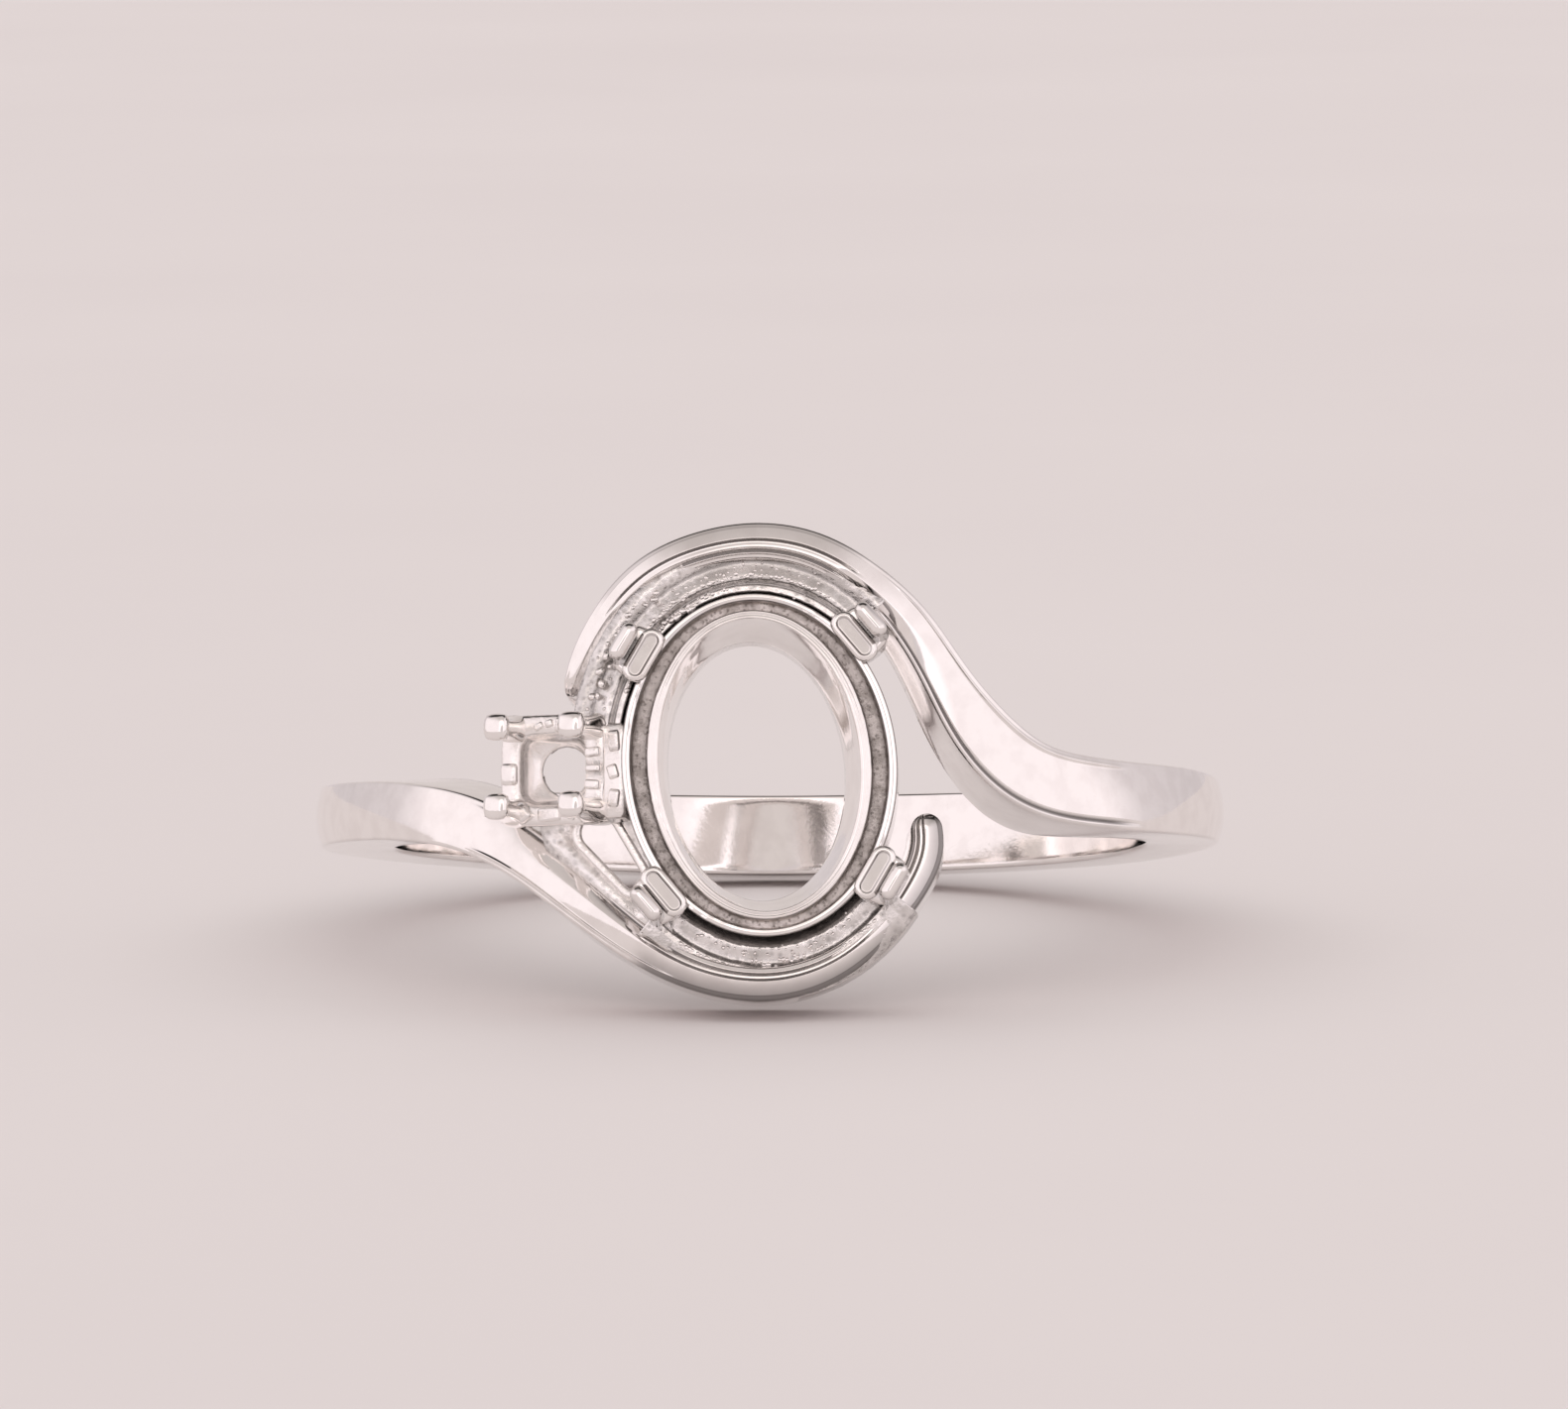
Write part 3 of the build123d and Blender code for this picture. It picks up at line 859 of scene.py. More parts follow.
@dataclass
class Band:
    """The shank and both swept arms, one bar from tip to tip."""

    finger_radius: float = 8.65
    shank_radius: float = 10.2
    arm_radius: float = 10.8
    width: float = 1.9
    reach: float = 4.98
    crown: float = 0.22
    flatness: float = 0.78
    ridge_gain: float = 7.9
    draft: float = 0.3
    edge_round: float = 0.09
    heel_round: float = 0.08
    domed: float = 2.0
    ridged: float = 1.25
    full_ridge: float = 0.2
    # arcs in degrees from the oval setting, each with the width of its fade
    upper_arc: tuple[float, ...] = (-19.0, 12.0, 3.0)
    lower_arc: tuple[float, ...] = (345.0, 386.0, 3.0)
    # the linings run a painted dark line, painted shade, with a slight dip along the top's inner edge
    upper_lining: tuple[float, ...] = (13.0, 52.0, 6.0)
    lower_lining: tuple[float, ...] = (322.0, 352.0, 6.0)
    upper_tilt_arc: tuple[float, ...] = (5.0, 72.0, 16.0)
    lower_tilt_arc: tuple[float, ...] = (295.0, 348.0, 14.0)
    upper_tilt: float = 9.0
    lower_tilt: float = 3.0
    tip_length: float = 0.34
    tip_drop: float = 0.3
    tip_start: float = 0.12
    tip_steps: int = 8
    spacing: float = 0.16
    # beads and grooves across the top: place from -1 at the outer edge to 1 at
    # the inner one, and height
    upper_beads: Rows = (
        (-1, 0), (-0.12, 0), (-0.04, -0.09), (0.03, -0.09), (0.09, -0.02), (0.2, -0.03),
        (0.52, 0.045), (0.6, 0), (0.7, -0.09), (0.78, -0.09), (0.86, -0.03), (0.94, -0.02), (1, -0.06),
    )
    lower_beads: Rows = (
        (-1, 0), (0.18, 0), (0.26, -0.09), (0.32, -0.09), (0.38, -0.01), (0.6, 0.02),
        (0.68, -0.03), (0.74, -0.1), (0.8, -0.1), (0.86, -0.01), (0.98, 0.01), (1, 0),
    )
    # painted dark lines across the top, painted shade along the edge and in the grooves: place, half
    # width and depth of shade
    edge_line: tuple[float, ...] = (-0.97, 0.05, 0.5)
    upper_grooves: Rows = ((-0.01, 0.07, 1.0), (0.73, 0.1, 0.85))
    lower_grooves: Rows = ((0.29, 0.06, 1.0), (0.77, 0.06, 0.9))
    # painted shade of each arc's outer facet, strongest at its outer edge
    upper_facet: float = 0.0
    lower_facet: float = 0.5
    lining_line: tuple[float, ...] = (0.91, 0.06, 0.05)

    def beading(self, across: np.ndarray, beads: Rows, samples: int = 201, blur: int = 3) -> np.ndarray:
        """Height of the beads and grooves along an arc's top.

        Args:
            across: places on the top.
            beads: places on the top and the height at each.
            samples: how finely the line through the beads is drawn.
            blur: over how many samples to each side it is softened.

        Returns:
            The height at each place in millimetres.
        """
        fine = np.linspace(-1, 1, samples)
        rough = np.pad(np.interp(fine, *zip(*beads)), blur, mode="edge")
        span = 2 * blur + 1
        return np.interp(across, fine, np.convolve(rough, np.ones(span) / span, mode="valid"))

    def shade(self, across: np.ndarray, facet: float, grooves: Rows) -> np.ndarray:
        """How dark the painted shade makes each place on an arc's top, from 0 to 1.

        Args:
            across: places on the top.
            facet: painted shade of the outer facet at its edge.
            grooves: the painted dark lines.

        Returns:
            The painted shade at each place.
        """
        shade = facet * np.clip(-across / 0.9, 0, 1) ** 0.7
        for at, wide, deep in (self.edge_line, *grooves):
            shade = shade + deep * np.exp(-(((across - at) / wide) ** 2))
        return np.clip(shade, 0, 1)

    @staticmethod
    def within(turn: np.ndarray, arc: tuple[float, ...]) -> np.ndarray:
        """Share of 1 inside an arc's turns that fades to 0 outside them."""
        share = np.clip(np.minimum(turn - arc[0], arc[1] - turn) / arc[2], 0, 1)
        return share * share * (3 - 2 * share)

    def crest(self, rows: np.ndarray) -> np.ndarray:
        """Runs along the middle of the bar's outer face.

        Args:
            rows: station values.

        Returns:
            The place at each station.
        """
        radius = self.shank_radius + (self.arm_radius - self.shank_radius) * rows[:, 3]
        crest = spokes(rows[:, 0]) * radius[:, None]
        crest[:, 1] = rows[:, 1] * self.reach
        return crest

    def rail(self) -> Mesh:
        """Places the bar's sections along its crest.

        Returns:
            Points with the section's directions and sizes at each.
        """
        rows = np.array(STATIONS)
        runs = np.linalg.norm(np.diff(self.crest(rows), axis=0), axis=1)
        knots = np.concatenate([[0], np.cumsum(runs)])
        whole, tip = knots[-1], self.tip_length
        ends = tip * (1 - np.cos(np.linspace(self.tip_start, math.pi / 2, self.tip_steps)))
        inner = np.arange(tip, whole - tip, self.spacing)
        along = np.concatenate([ends, inner[1:], whole - ends[::-1]])
        fine = spline_rows(knots, rows, along)
        turn, _, width, height, lean, flare, ridge = fine.T
        crest, up = self.crest(fine), spokes(lean)
        across = np.cross(np.gradient(crest, axis=0), up)
        across /= np.linalg.norm(across, axis=1, keepdims=True)
        full = np.sqrt(1 - (1 - np.minimum(np.minimum(along, whole - along) / tip, 1)) ** 2)
        crest -= up * (self.tip_drop * (1 - full))[:, None]
        bulge = 1 - self.flatness * height + self.ridge_gain * np.abs(ridge)
        peak = np.clip(np.abs(ridge) / self.full_ridge, 0, 1) * (self.ridged - self.domed)
        tilt = self.upper_tilt * self.within(turn, self.upper_tilt_arc)
        tilt += self.lower_tilt * self.within(turn, self.lower_tilt_arc)
        lining = self.within(turn, self.upper_lining) - self.within(turn, self.lower_lining)
        return point_rows(
            "band_rail",
            crest,
            across=across,
            up=up,
            shape=triple(width * self.width / 2 * full, self.crown * width * bulge * full, flare),
            dome=triple(ridge, full, self.domed + peak),
            arcs=triple(self.within(turn, self.upper_arc), self.within(turn, self.lower_arc), lining),
            tilt=triple(np.tan(np.radians(tilt)), 0.0, 0.0),
        )

    def section(self) -> Mesh:
        """Lays out the section: across, down, inset, and how far corners are cut.

        Returns:
            Points whose places hold the section's values.
        """
        ratio = self.heel_round / self.edge_round
        bend = np.linspace(0, math.pi / 2, 6)
        top = [(u, 0.0, abs(u), 0.0, 0.0) for u in np.linspace(-0.96, 0.96, 65)]
        right = [(1.0, 0.0, 1 - math.sin(a), 1 - math.cos(a), 0.0) for a in bend]
        right += [(1.0, v, 0.0, 0.0, 0.0) for v in (0.15, 0.3, 0.45, 0.6, 0.75)]
        right += [(1.0, 1.0, (1 - math.cos(a)) * ratio, 0.0, 1 - math.sin(a)) for a in bend]
        foot = [(u, 1.0, abs(u) * ratio, 0.0, 0.0) for u in np.linspace(0.8, -0.8, 9)]
        left = [(-u, *rest) for u, *rest in reversed(right)]
        across, down, inset, drop, lift = np.array(top + right + foot + left).T
        level = 1 - np.clip(down * 4, 0, 1)
        at, wide, deep = self.lining_line
        line = np.exp(-(((np.abs(across) - at) / wide) ** 2)) * np.sign(across)
        relief = (self.beading(across, self.upper_beads), self.beading(-across, self.lower_beads))
        # tint: painted shade of the facets, edges and grooves, and the painted dark lining line
        tint = (
            self.shade(across, self.upper_facet, self.upper_grooves),
            self.shade(-across, self.lower_facet, self.lower_grooves),
        )
        return point_rows(
            "band_section",
            triple(across, down, inset),
            trim=triple(drop, lift, 0.0),
            relief=triple(*relief, -deep * line) * level[:, None],
            tint=triple(*tint, line) * level[:, None],
        )

    def build(self, shop: Workshop) -> None:
        """Sweeps the bar and puts it in the CAD part's place.

        Args:
            shop: the workshop that finishes pieces.
        """
        mesh = shop.grow(
            "band", swept_bar_tree(), Coat.POLISHED, self.rail(), section=self.section(),
            finger_radius=self.finger_radius, edge_round=self.edge_round,
            heel_round=self.heel_round, draft=self.draft,
        )
        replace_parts(shop.piece("band", mesh), NODE)


@dataclass
class Oval:
    """The oval's plan, which the head and the webs beside it follow."""

    half_width: float = 3.03
    half_length: float = 3.78
    twist: float = math.radians(5.0)
    top: float = 10.9
    finger_gap: float = 8.66
    end_share: float = 0.74

    def turned(self, x: float, y: float, drop: float = 0.0) -> tuple[float, float, float]:
        """Place of a point of the untwisted plan, at a drop below the top."""
        spot = Matrix.Rotation(self.twist, 3, "Z") @ Vector((x, y, 0))
        return spot.x, spot.y, self.top - drop

    def lead(self, shop: Workshop, name: str, rows: Any, coat: Coat, **inputs: Any) -> Mesh:
        """Leads a section round the oval.

        Args:
            shop: the workshop that finishes pieces.
            name: the new mesh's name.
            rows: inset, drop below the top, roughness, painted shade, end share and
                sideways slide of each point of the section.
            coat: the wall's finish.
            inputs: the tree's other inputs.

        Returns:
            The wall's mesh.
        """
        inset, drop, rough, recess, share, slide = np.array(rows).T
        section = point_rows(
            name + "_section",
            triple(inset, share, np.maximum(self.top - drop, 0)),
            kind=triple(1.0, rough, recess),
            slide=triple(slide, 0.0, 0.0),
        )
        inputs = {"finger_radius": self.finger_gap, **inputs}
        return shop.grow(
            name, shop.wall, coat, section=section, half_width=self.half_width,
            half_length=self.half_length, twist=self.twist, **inputs,
        )


def arc_rows(
    middle: float, drop: float, wide: float, deep: float, start: float, end: float, steps: int
) -> list[tuple[float, float]]:
    """Runs along an elliptical bend of a section.

    Args:
        middle: inset of the bend's centre.
        drop: drop of the bend's centre.
        wide: half width across the section.
        deep: half height.
        start: first angle in degrees, from 0 inwards through 90 up to 180 outwards.
        end: last angle in degrees.
        steps: how many points.

    Returns:
        Inset and drop of each point.
    """
    angles = np.radians(np.linspace(start, end, steps))
    return [(middle + wide * math.cos(a), drop - deep * math.sin(a)) for a in angles]


@dataclass
class OvalHead:
    """The oval setting: rim wire, sunken matte channel, collar and tapered way."""

    oval: Oval
    # half of the rim wire: inset, drop and painted shade of each point, darkest down the wire's sides
    wire: Rows = (
        (0, 0.1, 0.9), (0.008, 0.05, 0.8), (0.02, 0.022, 0.5), (0.03, 0.011, 0.2),
        (0.04, 0.0095, 0), (0.09, 0.002, 0),
    )
    outer_drops: tuple[float, ...] = (9.0, 1.9, 1.3, 0.7, 0.3)
    rim_wall: float = 0.21
    channel_width: float = 0.36
    channel_depth: float = 0.38
    channel_round: float = 0.08
    collar_wall: float = 0.25
    collar_soft: float = 0.02
    taper: float = 0.26
    collar_shares: tuple[float, float] = (0.65, 0.68)
    foot_share: float = 0.87
    foot_drop: float = 9.0
    crease_drop: float = 0.62
    crease_inset: float = 0.1
    slide: float = -0.12
    steps: int = 260
    grain_depth: float = 0.03
    grain_scale: float = 9.0
    seed: float = 3.0

    def profile(self) -> list[tuple[float, ...]]:
        """Runs round the head's section: outer wall, rim, channel, collar and way.

        Returns:
            Inset, drop, roughness, painted shade, end share and slide of each point.
        """
        rim, share, soft = self.rim_wall, self.oval.end_share, self.channel_round
        near, far = self.collar_shares
        collar = rim + self.channel_width
        inner = collar + self.collar_wall
        crease = inner + self.crease_inset
        foot = inner + self.taper
        floor = self.channel_depth
        bend = floor - soft
        wire = [*self.wire, (rim / 2, 0, 0), *((rim - i, d, s) for i, d, s in self.wire[::-1])]
        lip = arc_rows(collar + 0.07, self.collar_soft, 0.07, 0.05, 180, 90, 7)
        dip = [(collar + 0.095, -0.015), (collar + 0.12, 0.0), (collar + 0.145, -0.01)]
        wall = arc_rows(inner - 0.06, self.collar_soft, 0.06, 0.05, 90, 0, 7)
        wall += [(inner + 0.02, 0.16), (inner + 0.05, 0.36)]
        wall += [(crease - 0.01, self.crease_drop - 0.05), (crease, self.crease_drop)]
        # painted shade: dark down the outer wall and the wire's sides, in the channel darker on the
        # sides than at the ends, and a painted dark line on the collar's lip
        rows = [(0.0, drop, 0.0, 0.8, share, 0.0) for drop in self.outer_drops]
        rows += [(i, d, 0.0, s, share, 0.0) for i, d, s in wire]
        stretches = (
            ([(rim, 0.18), (rim + 0.01, 0.26)], 0.6, -0.75, share),
            (arc_rows(rim + 0.09, bend, soft, -soft, 180, 90, 5), 1.0, -0.4, share),
            ([(rim + 0.09 + x, floor) for x in (0.05, 0.1, 0.15)], 1.0, -0.25, (share + near) / 2),
            (arc_rows(collar - 0.08, bend, soft, -soft, 90, 0, 5), 1.0, -0.4, near),
            (lip[:1], 0.0, 0.7, near),
            (lip[1:2], 0.0, 0.35, near),
            (lip[2:], 0.0, 0.0, near),
            (dip, 0.0, 0.0, (near + far) / 2),
            (wall, 0.0, 0.0, far),
        )
        for places, rough, recess, ends in stretches:
            rows += [(i, d, rough, recess, ends, 0.0) for i, d in places]
        for part in (0.1, 0.35, 0.6, 0.85):
            inset, drop = crease + (foot - crease) * part, self.crease_drop + 1.2 * part
            rows.append((inset, drop, 0.0, 0.0, far + (self.foot_share - far) * part, self.slide * part))
        rows.append((foot, self.foot_drop, 0.0, 0.0, self.foot_share, self.slide))
        rows += [(foot * part, self.foot_drop, 0.0, 0.0, share, 0.0) for part in (0.75, 0.5, 0.25)]
        return rows

    def build(self, shop: Workshop) -> None:
        """Leads the section round the oval.

        Args:
            shop: the workshop that finishes pieces.
        """
        rows = self.profile()
        mesh = self.oval.lead(
            shop, "oval_head", rows, Coat.POLISHED, steps=self.steps, grain_depth=self.grain_depth,
            grain_scale=self.grain_scale, seed=self.seed,
        )
        count = len(rows)
        matte = {i for i in range(count) if rows[i][2] > 0 or rows[(i + 1) % count][2] > 0}
        dress(mesh, shop.metals[Coat.SATIN], matte, count)
        shop.piece("oval_head", mesh)


class Level(NamedTuple):
    """One level of a tablet: height, half sizes, corner, sideways shift and painted shade."""

    height: float
    half_depth: float
    half_width: float
    corner: float
    shift: float = 0.0
    shade: float = 0.0


def tablet(name: str, levels: list[Level], arc: int = 5) -> Mesh:
    """Stacks rounded rectangles into a closed block.

    Args:
        name: the block's name.
        levels: its levels from the bottom up.
        arc: points on each corner.

    Returns:
        The block's mesh.
    """
    points = []
    for level in levels:
        corner = min(level.corner, level.half_depth, level.half_width)
        for quarter, (sx, sy) in enumerate(((1, 1), (-1, 1), (-1, -1), (1, -1))):
            for turn in np.linspace(0, math.pi / 2, arc) + quarter * math.pi / 2:
                x = level.shift + sx * (level.half_depth - corner) + corner * math.cos(turn)
                y = sy * (level.half_width - corner) + corner * math.sin(turn)
                points.append((x, y, level.height))
    mesh = plain_mesh(name, points, ring_faces(len(levels), 4 * arc))
    shades = np.repeat([level.shade for level in levels], 4 * arc)
    mesh.attributes.new("recess", "FLOAT", "POINT").data.foreach_set("value", shades)
    return mesh


def rounded_levels(
    low: float, high: float, depth: float, width: float, soft: float, shift: float = 0.0,
    pinch: float = 1.0, corner: float = 0.2, shade: float = 0.0, least: float = 0.02,
) -> list[Level]:
    """Levels of a block whose upper edge is rounded.

    Args:
        low: lowest height.
        high: highest height.
        depth: whole size across.
        width: whole size along.
        soft: radius of the upper edge.
        shift: how far the block stands to one side.
        pinch: share of the sizes left at the top.
        corner: radius of the upright corners.
        shade: painted shade of the foot, half of which is left below the edge.
        least: smallest half size and corner.

    Returns:
        The levels from the bottom up.
    """
    levels = [Level(low, depth / 2, width / 2, corner, shift, shade)]
    for angle in np.linspace(0, math.pi / 2, 6):
        height = high - soft + soft * math.sin(angle)
        size = 1 + (pinch - 1) * (height - low) / (high - low)
        cut = soft * (1 - math.cos(angle))
        halves = (max(whole / 2 * size - cut, least) for whole in (depth, width))
        left = shade * 0.5 * (1 - math.sin(angle)) ** 2
        levels.append(Level(height, *halves, max(corner - cut * 0.5, least), shift, left))
    return levels


@dataclass
class Prongs:
    """Four wide notched prongs that follow the oval."""

    oval: Oval
    width: float = 1.28
    depth: float = 0.96
    foot: float = -1.1
    rise: float = 1.1
    shelf: float = 0.28
    lobe_depth: float = 0.56
    horn_depth: float = 0.4
    horn_width: float = 0.98
    # the fine line inside the shelf's edge: share of its width, of its drop, painted shade
    line: Rows = ((0.45, 0.6, 0.55), (0.8, 1.0, 0.3), (0.95, 1.0, 0.0), (1.1, 1.0, 0.0))
    line_width: float = 0.09
    line_drop: float = 0.03
    line_start: float = 0.02
    side_share: float = 0.82
    end_share: float = 0.72

    def prong(self) -> Mesh:
        """Shapes one prong: an inner shelf with a rounded edge and a raised tip.

        Returns:
            The prong's mesh, with its inner face towards -X.
        """
        inner, outer = (self.lobe_depth - self.depth) / 2, (self.depth - self.horn_depth) / 2
        # painted shade darkens the feet of the block, shelf and tip, fading out below their rounded
        # edges
        block = rounded_levels(
            self.foot, 0.0, self.depth, self.width * 0.9, 0.12, corner=0.42, shade=0.5
        )
        lobe = rounded_levels(
            -0.2, self.shelf, self.lobe_depth, self.width, 0.09, inner, corner=0.27, shade=1.0
        )
        horn = rounded_levels(
            -0.3, self.rise, self.horn_depth, self.horn_width, 0.19, outer, 0.9, 0.19, 1.0
        )
        top = lobe[-1]
        halves = (top.half_depth - self.line_start, top.half_width - self.line_start)
        lobe.append(Level(top.height, *halves, top.corner, top.shift, top.shade))
        for cut, drop, shade in self.line:
            cut, height = self.line_width * cut, self.shelf - self.line_drop * drop
            halves = (top.half_depth - cut, top.half_width - cut)
            lobe.append(Level(height, *halves, top.corner - cut / 2, top.shift, shade))
        work = bmesh.new()
        for levels in (block, lobe, horn):
            work.from_mesh(tablet("block", levels))
        prong = bpy.data.meshes.new("prong")
        work.to_mesh(prong)
        work.free()
        return prong

    def build(self, shop: Workshop) -> None:
        """Repeats the prong at its four places round the oval.

        Args:
            shop: the workshop that finishes pieces.
        """
        half_x, half_y = self.oval.half_width, self.oval.half_length
        spots, turns = [], []
        for side, end in ((-1, -1), (-1, 1), (1, -1), (1, 1)):
            x, y = side * half_x * self.side_share, end * half_y * self.end_share
            spots.append(self.oval.turned(x, y))
            turns.append(math.atan2(y / half_y**2, x / half_x**2) + self.oval.twist)
        prongs = shop.repeated("oval_prongs", self.prong(), Coat.POLISHED, np.array(spots), turns)
        shop.piece("oval_prongs", prongs)


@dataclass
class AccentHead:
    """The small setting: tapered cup, square gallery and four ball-tipped wires."""

    oval: Oval
    side: float = 2.45
    overlap: float = 0.04
    lean: float = -19.0
    foot: tuple[float, float] = (-0.04, 9.1)
    hole: float = 0.55
    seat_slide: float = 0.09
    cup_height: float = 0.8
    bar_height: float = 0.34
    bar: float = 0.45
    wire: float = 0.25
    ball: float = 0.3
    squareness: float = 0.55
    rise: float = 1.38
    pinch: float = 0.9
    wire_sides: int = 18
    steps: int = 160
    grain_depth: float = 0.05
    grain_scale: float = 2.6
    seed: float = 7.0
    seat_strips: tuple[int, int] = (12, 17)
    # height and radius of the wire, then up and out of its tip as shares of the ball
    rings: Rows = (
        (0.12, 0.16), (0.4, 0.25), (0.8, 0.3), (1.12, 0.31), (1.24, 0.27), (1.5, 0.23),
        (1.8, 0.22), (1.94, 0.235),
    )
    tip: Rows = (
        (-0.3, 0.78), (-0.2, 0.92), (0, 1), (0.3, 0.97), (0.5, 0.86), (0.62, 0.66), (0.68, 0.4),
        (0.7, 0.02),
    )
    # each lump on the gallery: place, half sizes and turn
    lumps: Rows = (
        (-1, -0.08, 1.12, 0.2, 0.26, 0.14, 0), (0.98, 0.36, 1.12, 0.19, 0.12, 0.16, 0.1),
        (1, 0, 1.12, 0.19, 0.09, 0.16, 0), (0.98, -0.36, 1.12, 0.19, 0.12, 0.16, -0.1),
        (1.4, -0.05, 0.88, 0.34, 1.12, 0.2, 0), (1.44, 0.6, 0.98, 0.15, 0.26, 0.16, 0.1),
        (1.42, -0.08, 0.99, 0.14, 0.18, 0.15, 0.3), (1.44, -0.66, 0.98, 0.15, 0.22, 0.16, -0.15),
        (0.42, 0.98, 1.16, 0.1, 0.2, 0.2, 0.2), (0.2, 0.98, 1.14, 0.09, 0.18, 0.14, -0.1),
        (-0.05, 1.02, 1.12, 0.1, 0.09, 0.12, 0.3), (-0.3, 0.96, 1.12, 0.12, 0.08, 0.1, 0.5),
        (-0.62, -0.98, 1.16, 0.17, 0.17, 0.2, 0.6), (-0.05, -0.99, 1.1, 0.3, 0.17, 0.1, 0.05),
        (0.5, -0.98, 1.1, 0.1, 0.16, 0.12, -0.3),
    )

    @property
    def place(self) -> Matrix:
        """Frame of the setting's foot, leaning away from the oval."""
        spot = Vector((self.overlap - self.oval.half_width - self.side / 2, *self.foot))
        return Matrix.Translation(spot) @ Matrix.Rotation(math.radians(self.lean), 4, "Y")

    def cup_section(self) -> Mesh:
        """Lays out the cup's section from its foot over the gallery to its hole.

        Returns:
            Points whose places hold the section's values.
        """
        half, mouth, cup = self.side / 2, self.bar, self.cup_height
        top, hole = cup + self.bar_height, half - self.hole
        # inset, height, roundness, roughness and share of the slide of each point
        rows = (
            (half * 0.2, 0.0, 0.75, 0.5, 0), (half * 0.16, 0.15, 0.7, 0.7, 0),
            (half * 0.08, 0.45, 0.5, 0.7, 0), (half * 0.02, 0.7, 0.36, 0.5, 0),
            (0.0, cup, 0.3, 0.5, 0), (0.0, top - 0.08, 0.3, 0.4, 0), (0.03, top - 0.02, 0.3, 0.4, 0),
            (0.09, top, 0.3, 0.5, 0), (mouth * 0.5, top + 0.02, 0.33, 0.8, 0),
            (mouth - 0.08, top, 0.38, 0.5, 0), (mouth - 0.02, top - 0.03, 0.4, 0.5, 0),
            (mouth, top - 0.09, 0.42, 0.4, 0), (mouth + 0.02, top - 0.2, 0.45, 0.1, 0),
            (mouth + 0.06, cup - 0.1, 0.5, 0.0, 0), (hole - 0.08, 0.58, 0.9, 0.0, 1),
            (hole - 0.02, 0.53, 1.0, 0.0, 1), (hole, 0.5, 1.0, 0.0, 1), (hole - 0.2, 0.0, 1.0, 0.0, 0),
        )
        inset, height, power, rough, slide = np.array(rows).T
        return point_rows(
            "accent_section",
            triple(inset, 1.0, height),
            kind=triple(power, rough, 0.0),
            slide=triple(slide * self.seat_slide, 0.0, 0.0),
        )

    def wire_prong(self) -> Mesh:
        """Shapes one wire prong as a lathe of rings, with a ball at its tip.

        Returns:
            The prong's mesh.
        """
        tall = self.cup_height + self.rise
        rings = [*self.rings, *((tall + self.ball * up, self.ball * out) for up, out in self.tip)]
        points = []
        for height, radius in rings:
            share = self.pinch + (1 - self.pinch) * (1 - height / tall)
            corner = (self.side / 2 - self.wire) * share
            for turn in np.arange(self.wire_sides) * 2 * math.pi / self.wire_sides:
                c, s = math.cos(turn), math.sin(turn)
                spread = radius / max(abs(c), abs(s)) ** self.squareness
                points.append((corner + spread * c, corner + spread * s, height))
        return plain_mesh("wire_prong", points, ring_faces(len(rings), self.wire_sides))

    def hollow(self) -> Mesh:
        """Shapes the room inside the cup, in the ring's frame.

        Returns:
            The room's closed mesh.
        """
        hole, mouth = self.hole, self.side / 2 - self.bar
        foot, wide, slide = hole + 0.15, hole + 0.08, self.seat_slide
        levels = [
            Level(-1.5, foot, foot, foot, slide - 0.5), Level(0.0, foot, foot, foot, slide),
            Level(0.45, hole, hole, hole, slide), Level(0.55, wide, wide, hole),
            Level(2.2, mouth, mouth, 0.25),
        ]
        room = tablet("accent_room", levels)
        room.transform(self.place)
        return room

    def build(self, shop: Workshop) -> None:
        """Builds the cup, its wire prongs and the lumps on its gallery.

        Args:
            shop: the workshop that finishes pieces.
        """
        section = self.cup_section()
        strips = len(section.vertices)
        cup = shop.grow(
            "accent_cup", shop.wall, Coat.BRIGHT, section=section, half_width=self.side / 2,
            half_length=self.side / 2, steps=self.steps, grain_depth=self.grain_depth,
            grain_scale=self.grain_scale, seed=self.seed,
        )
        # the seat inside the cup takes the lightened soft finish, painted light against the shade there
        dress(cup, shop.metals[Coat.SOFT], set(range(*self.seat_strips)), strips)
        quarters = np.arange(4) * math.pi / 2
        spots, lumps = np.zeros((4, 3)), np.array(self.lumps)
        block = tablet("lump", rounded_levels(-1.0, 1.0, 2.0, 2.0, 0.45, pinch=0.9, corner=0.4))
        wires = shop.repeated("accent_prongs", self.wire_prong(), Coat.POLISHED, spots, quarters)
        blocks = shop.repeated(
            "accent_lumps", block, Coat.BRIGHT, lumps[:, :3], lumps[:, 6], lumps[:, 3:6]
        )
        for mesh in (cup, wires, blocks):
            shop.piece(mesh.name, mesh, self.place)


class BeadRow(NamedTuple):
    """A row of solder beads beside the rim: angles about the oval in degrees."""

    start: float
    end: float
    reach: float
    drop: float
    spacing: float
    size: float
    scatter: float


class Web(NamedTuple):
    """A web: reach beyond the rim, drop, roughness and painted shade of each step."""

    name: str
    start: float
    end: float
    seed: float
    steps: Rows


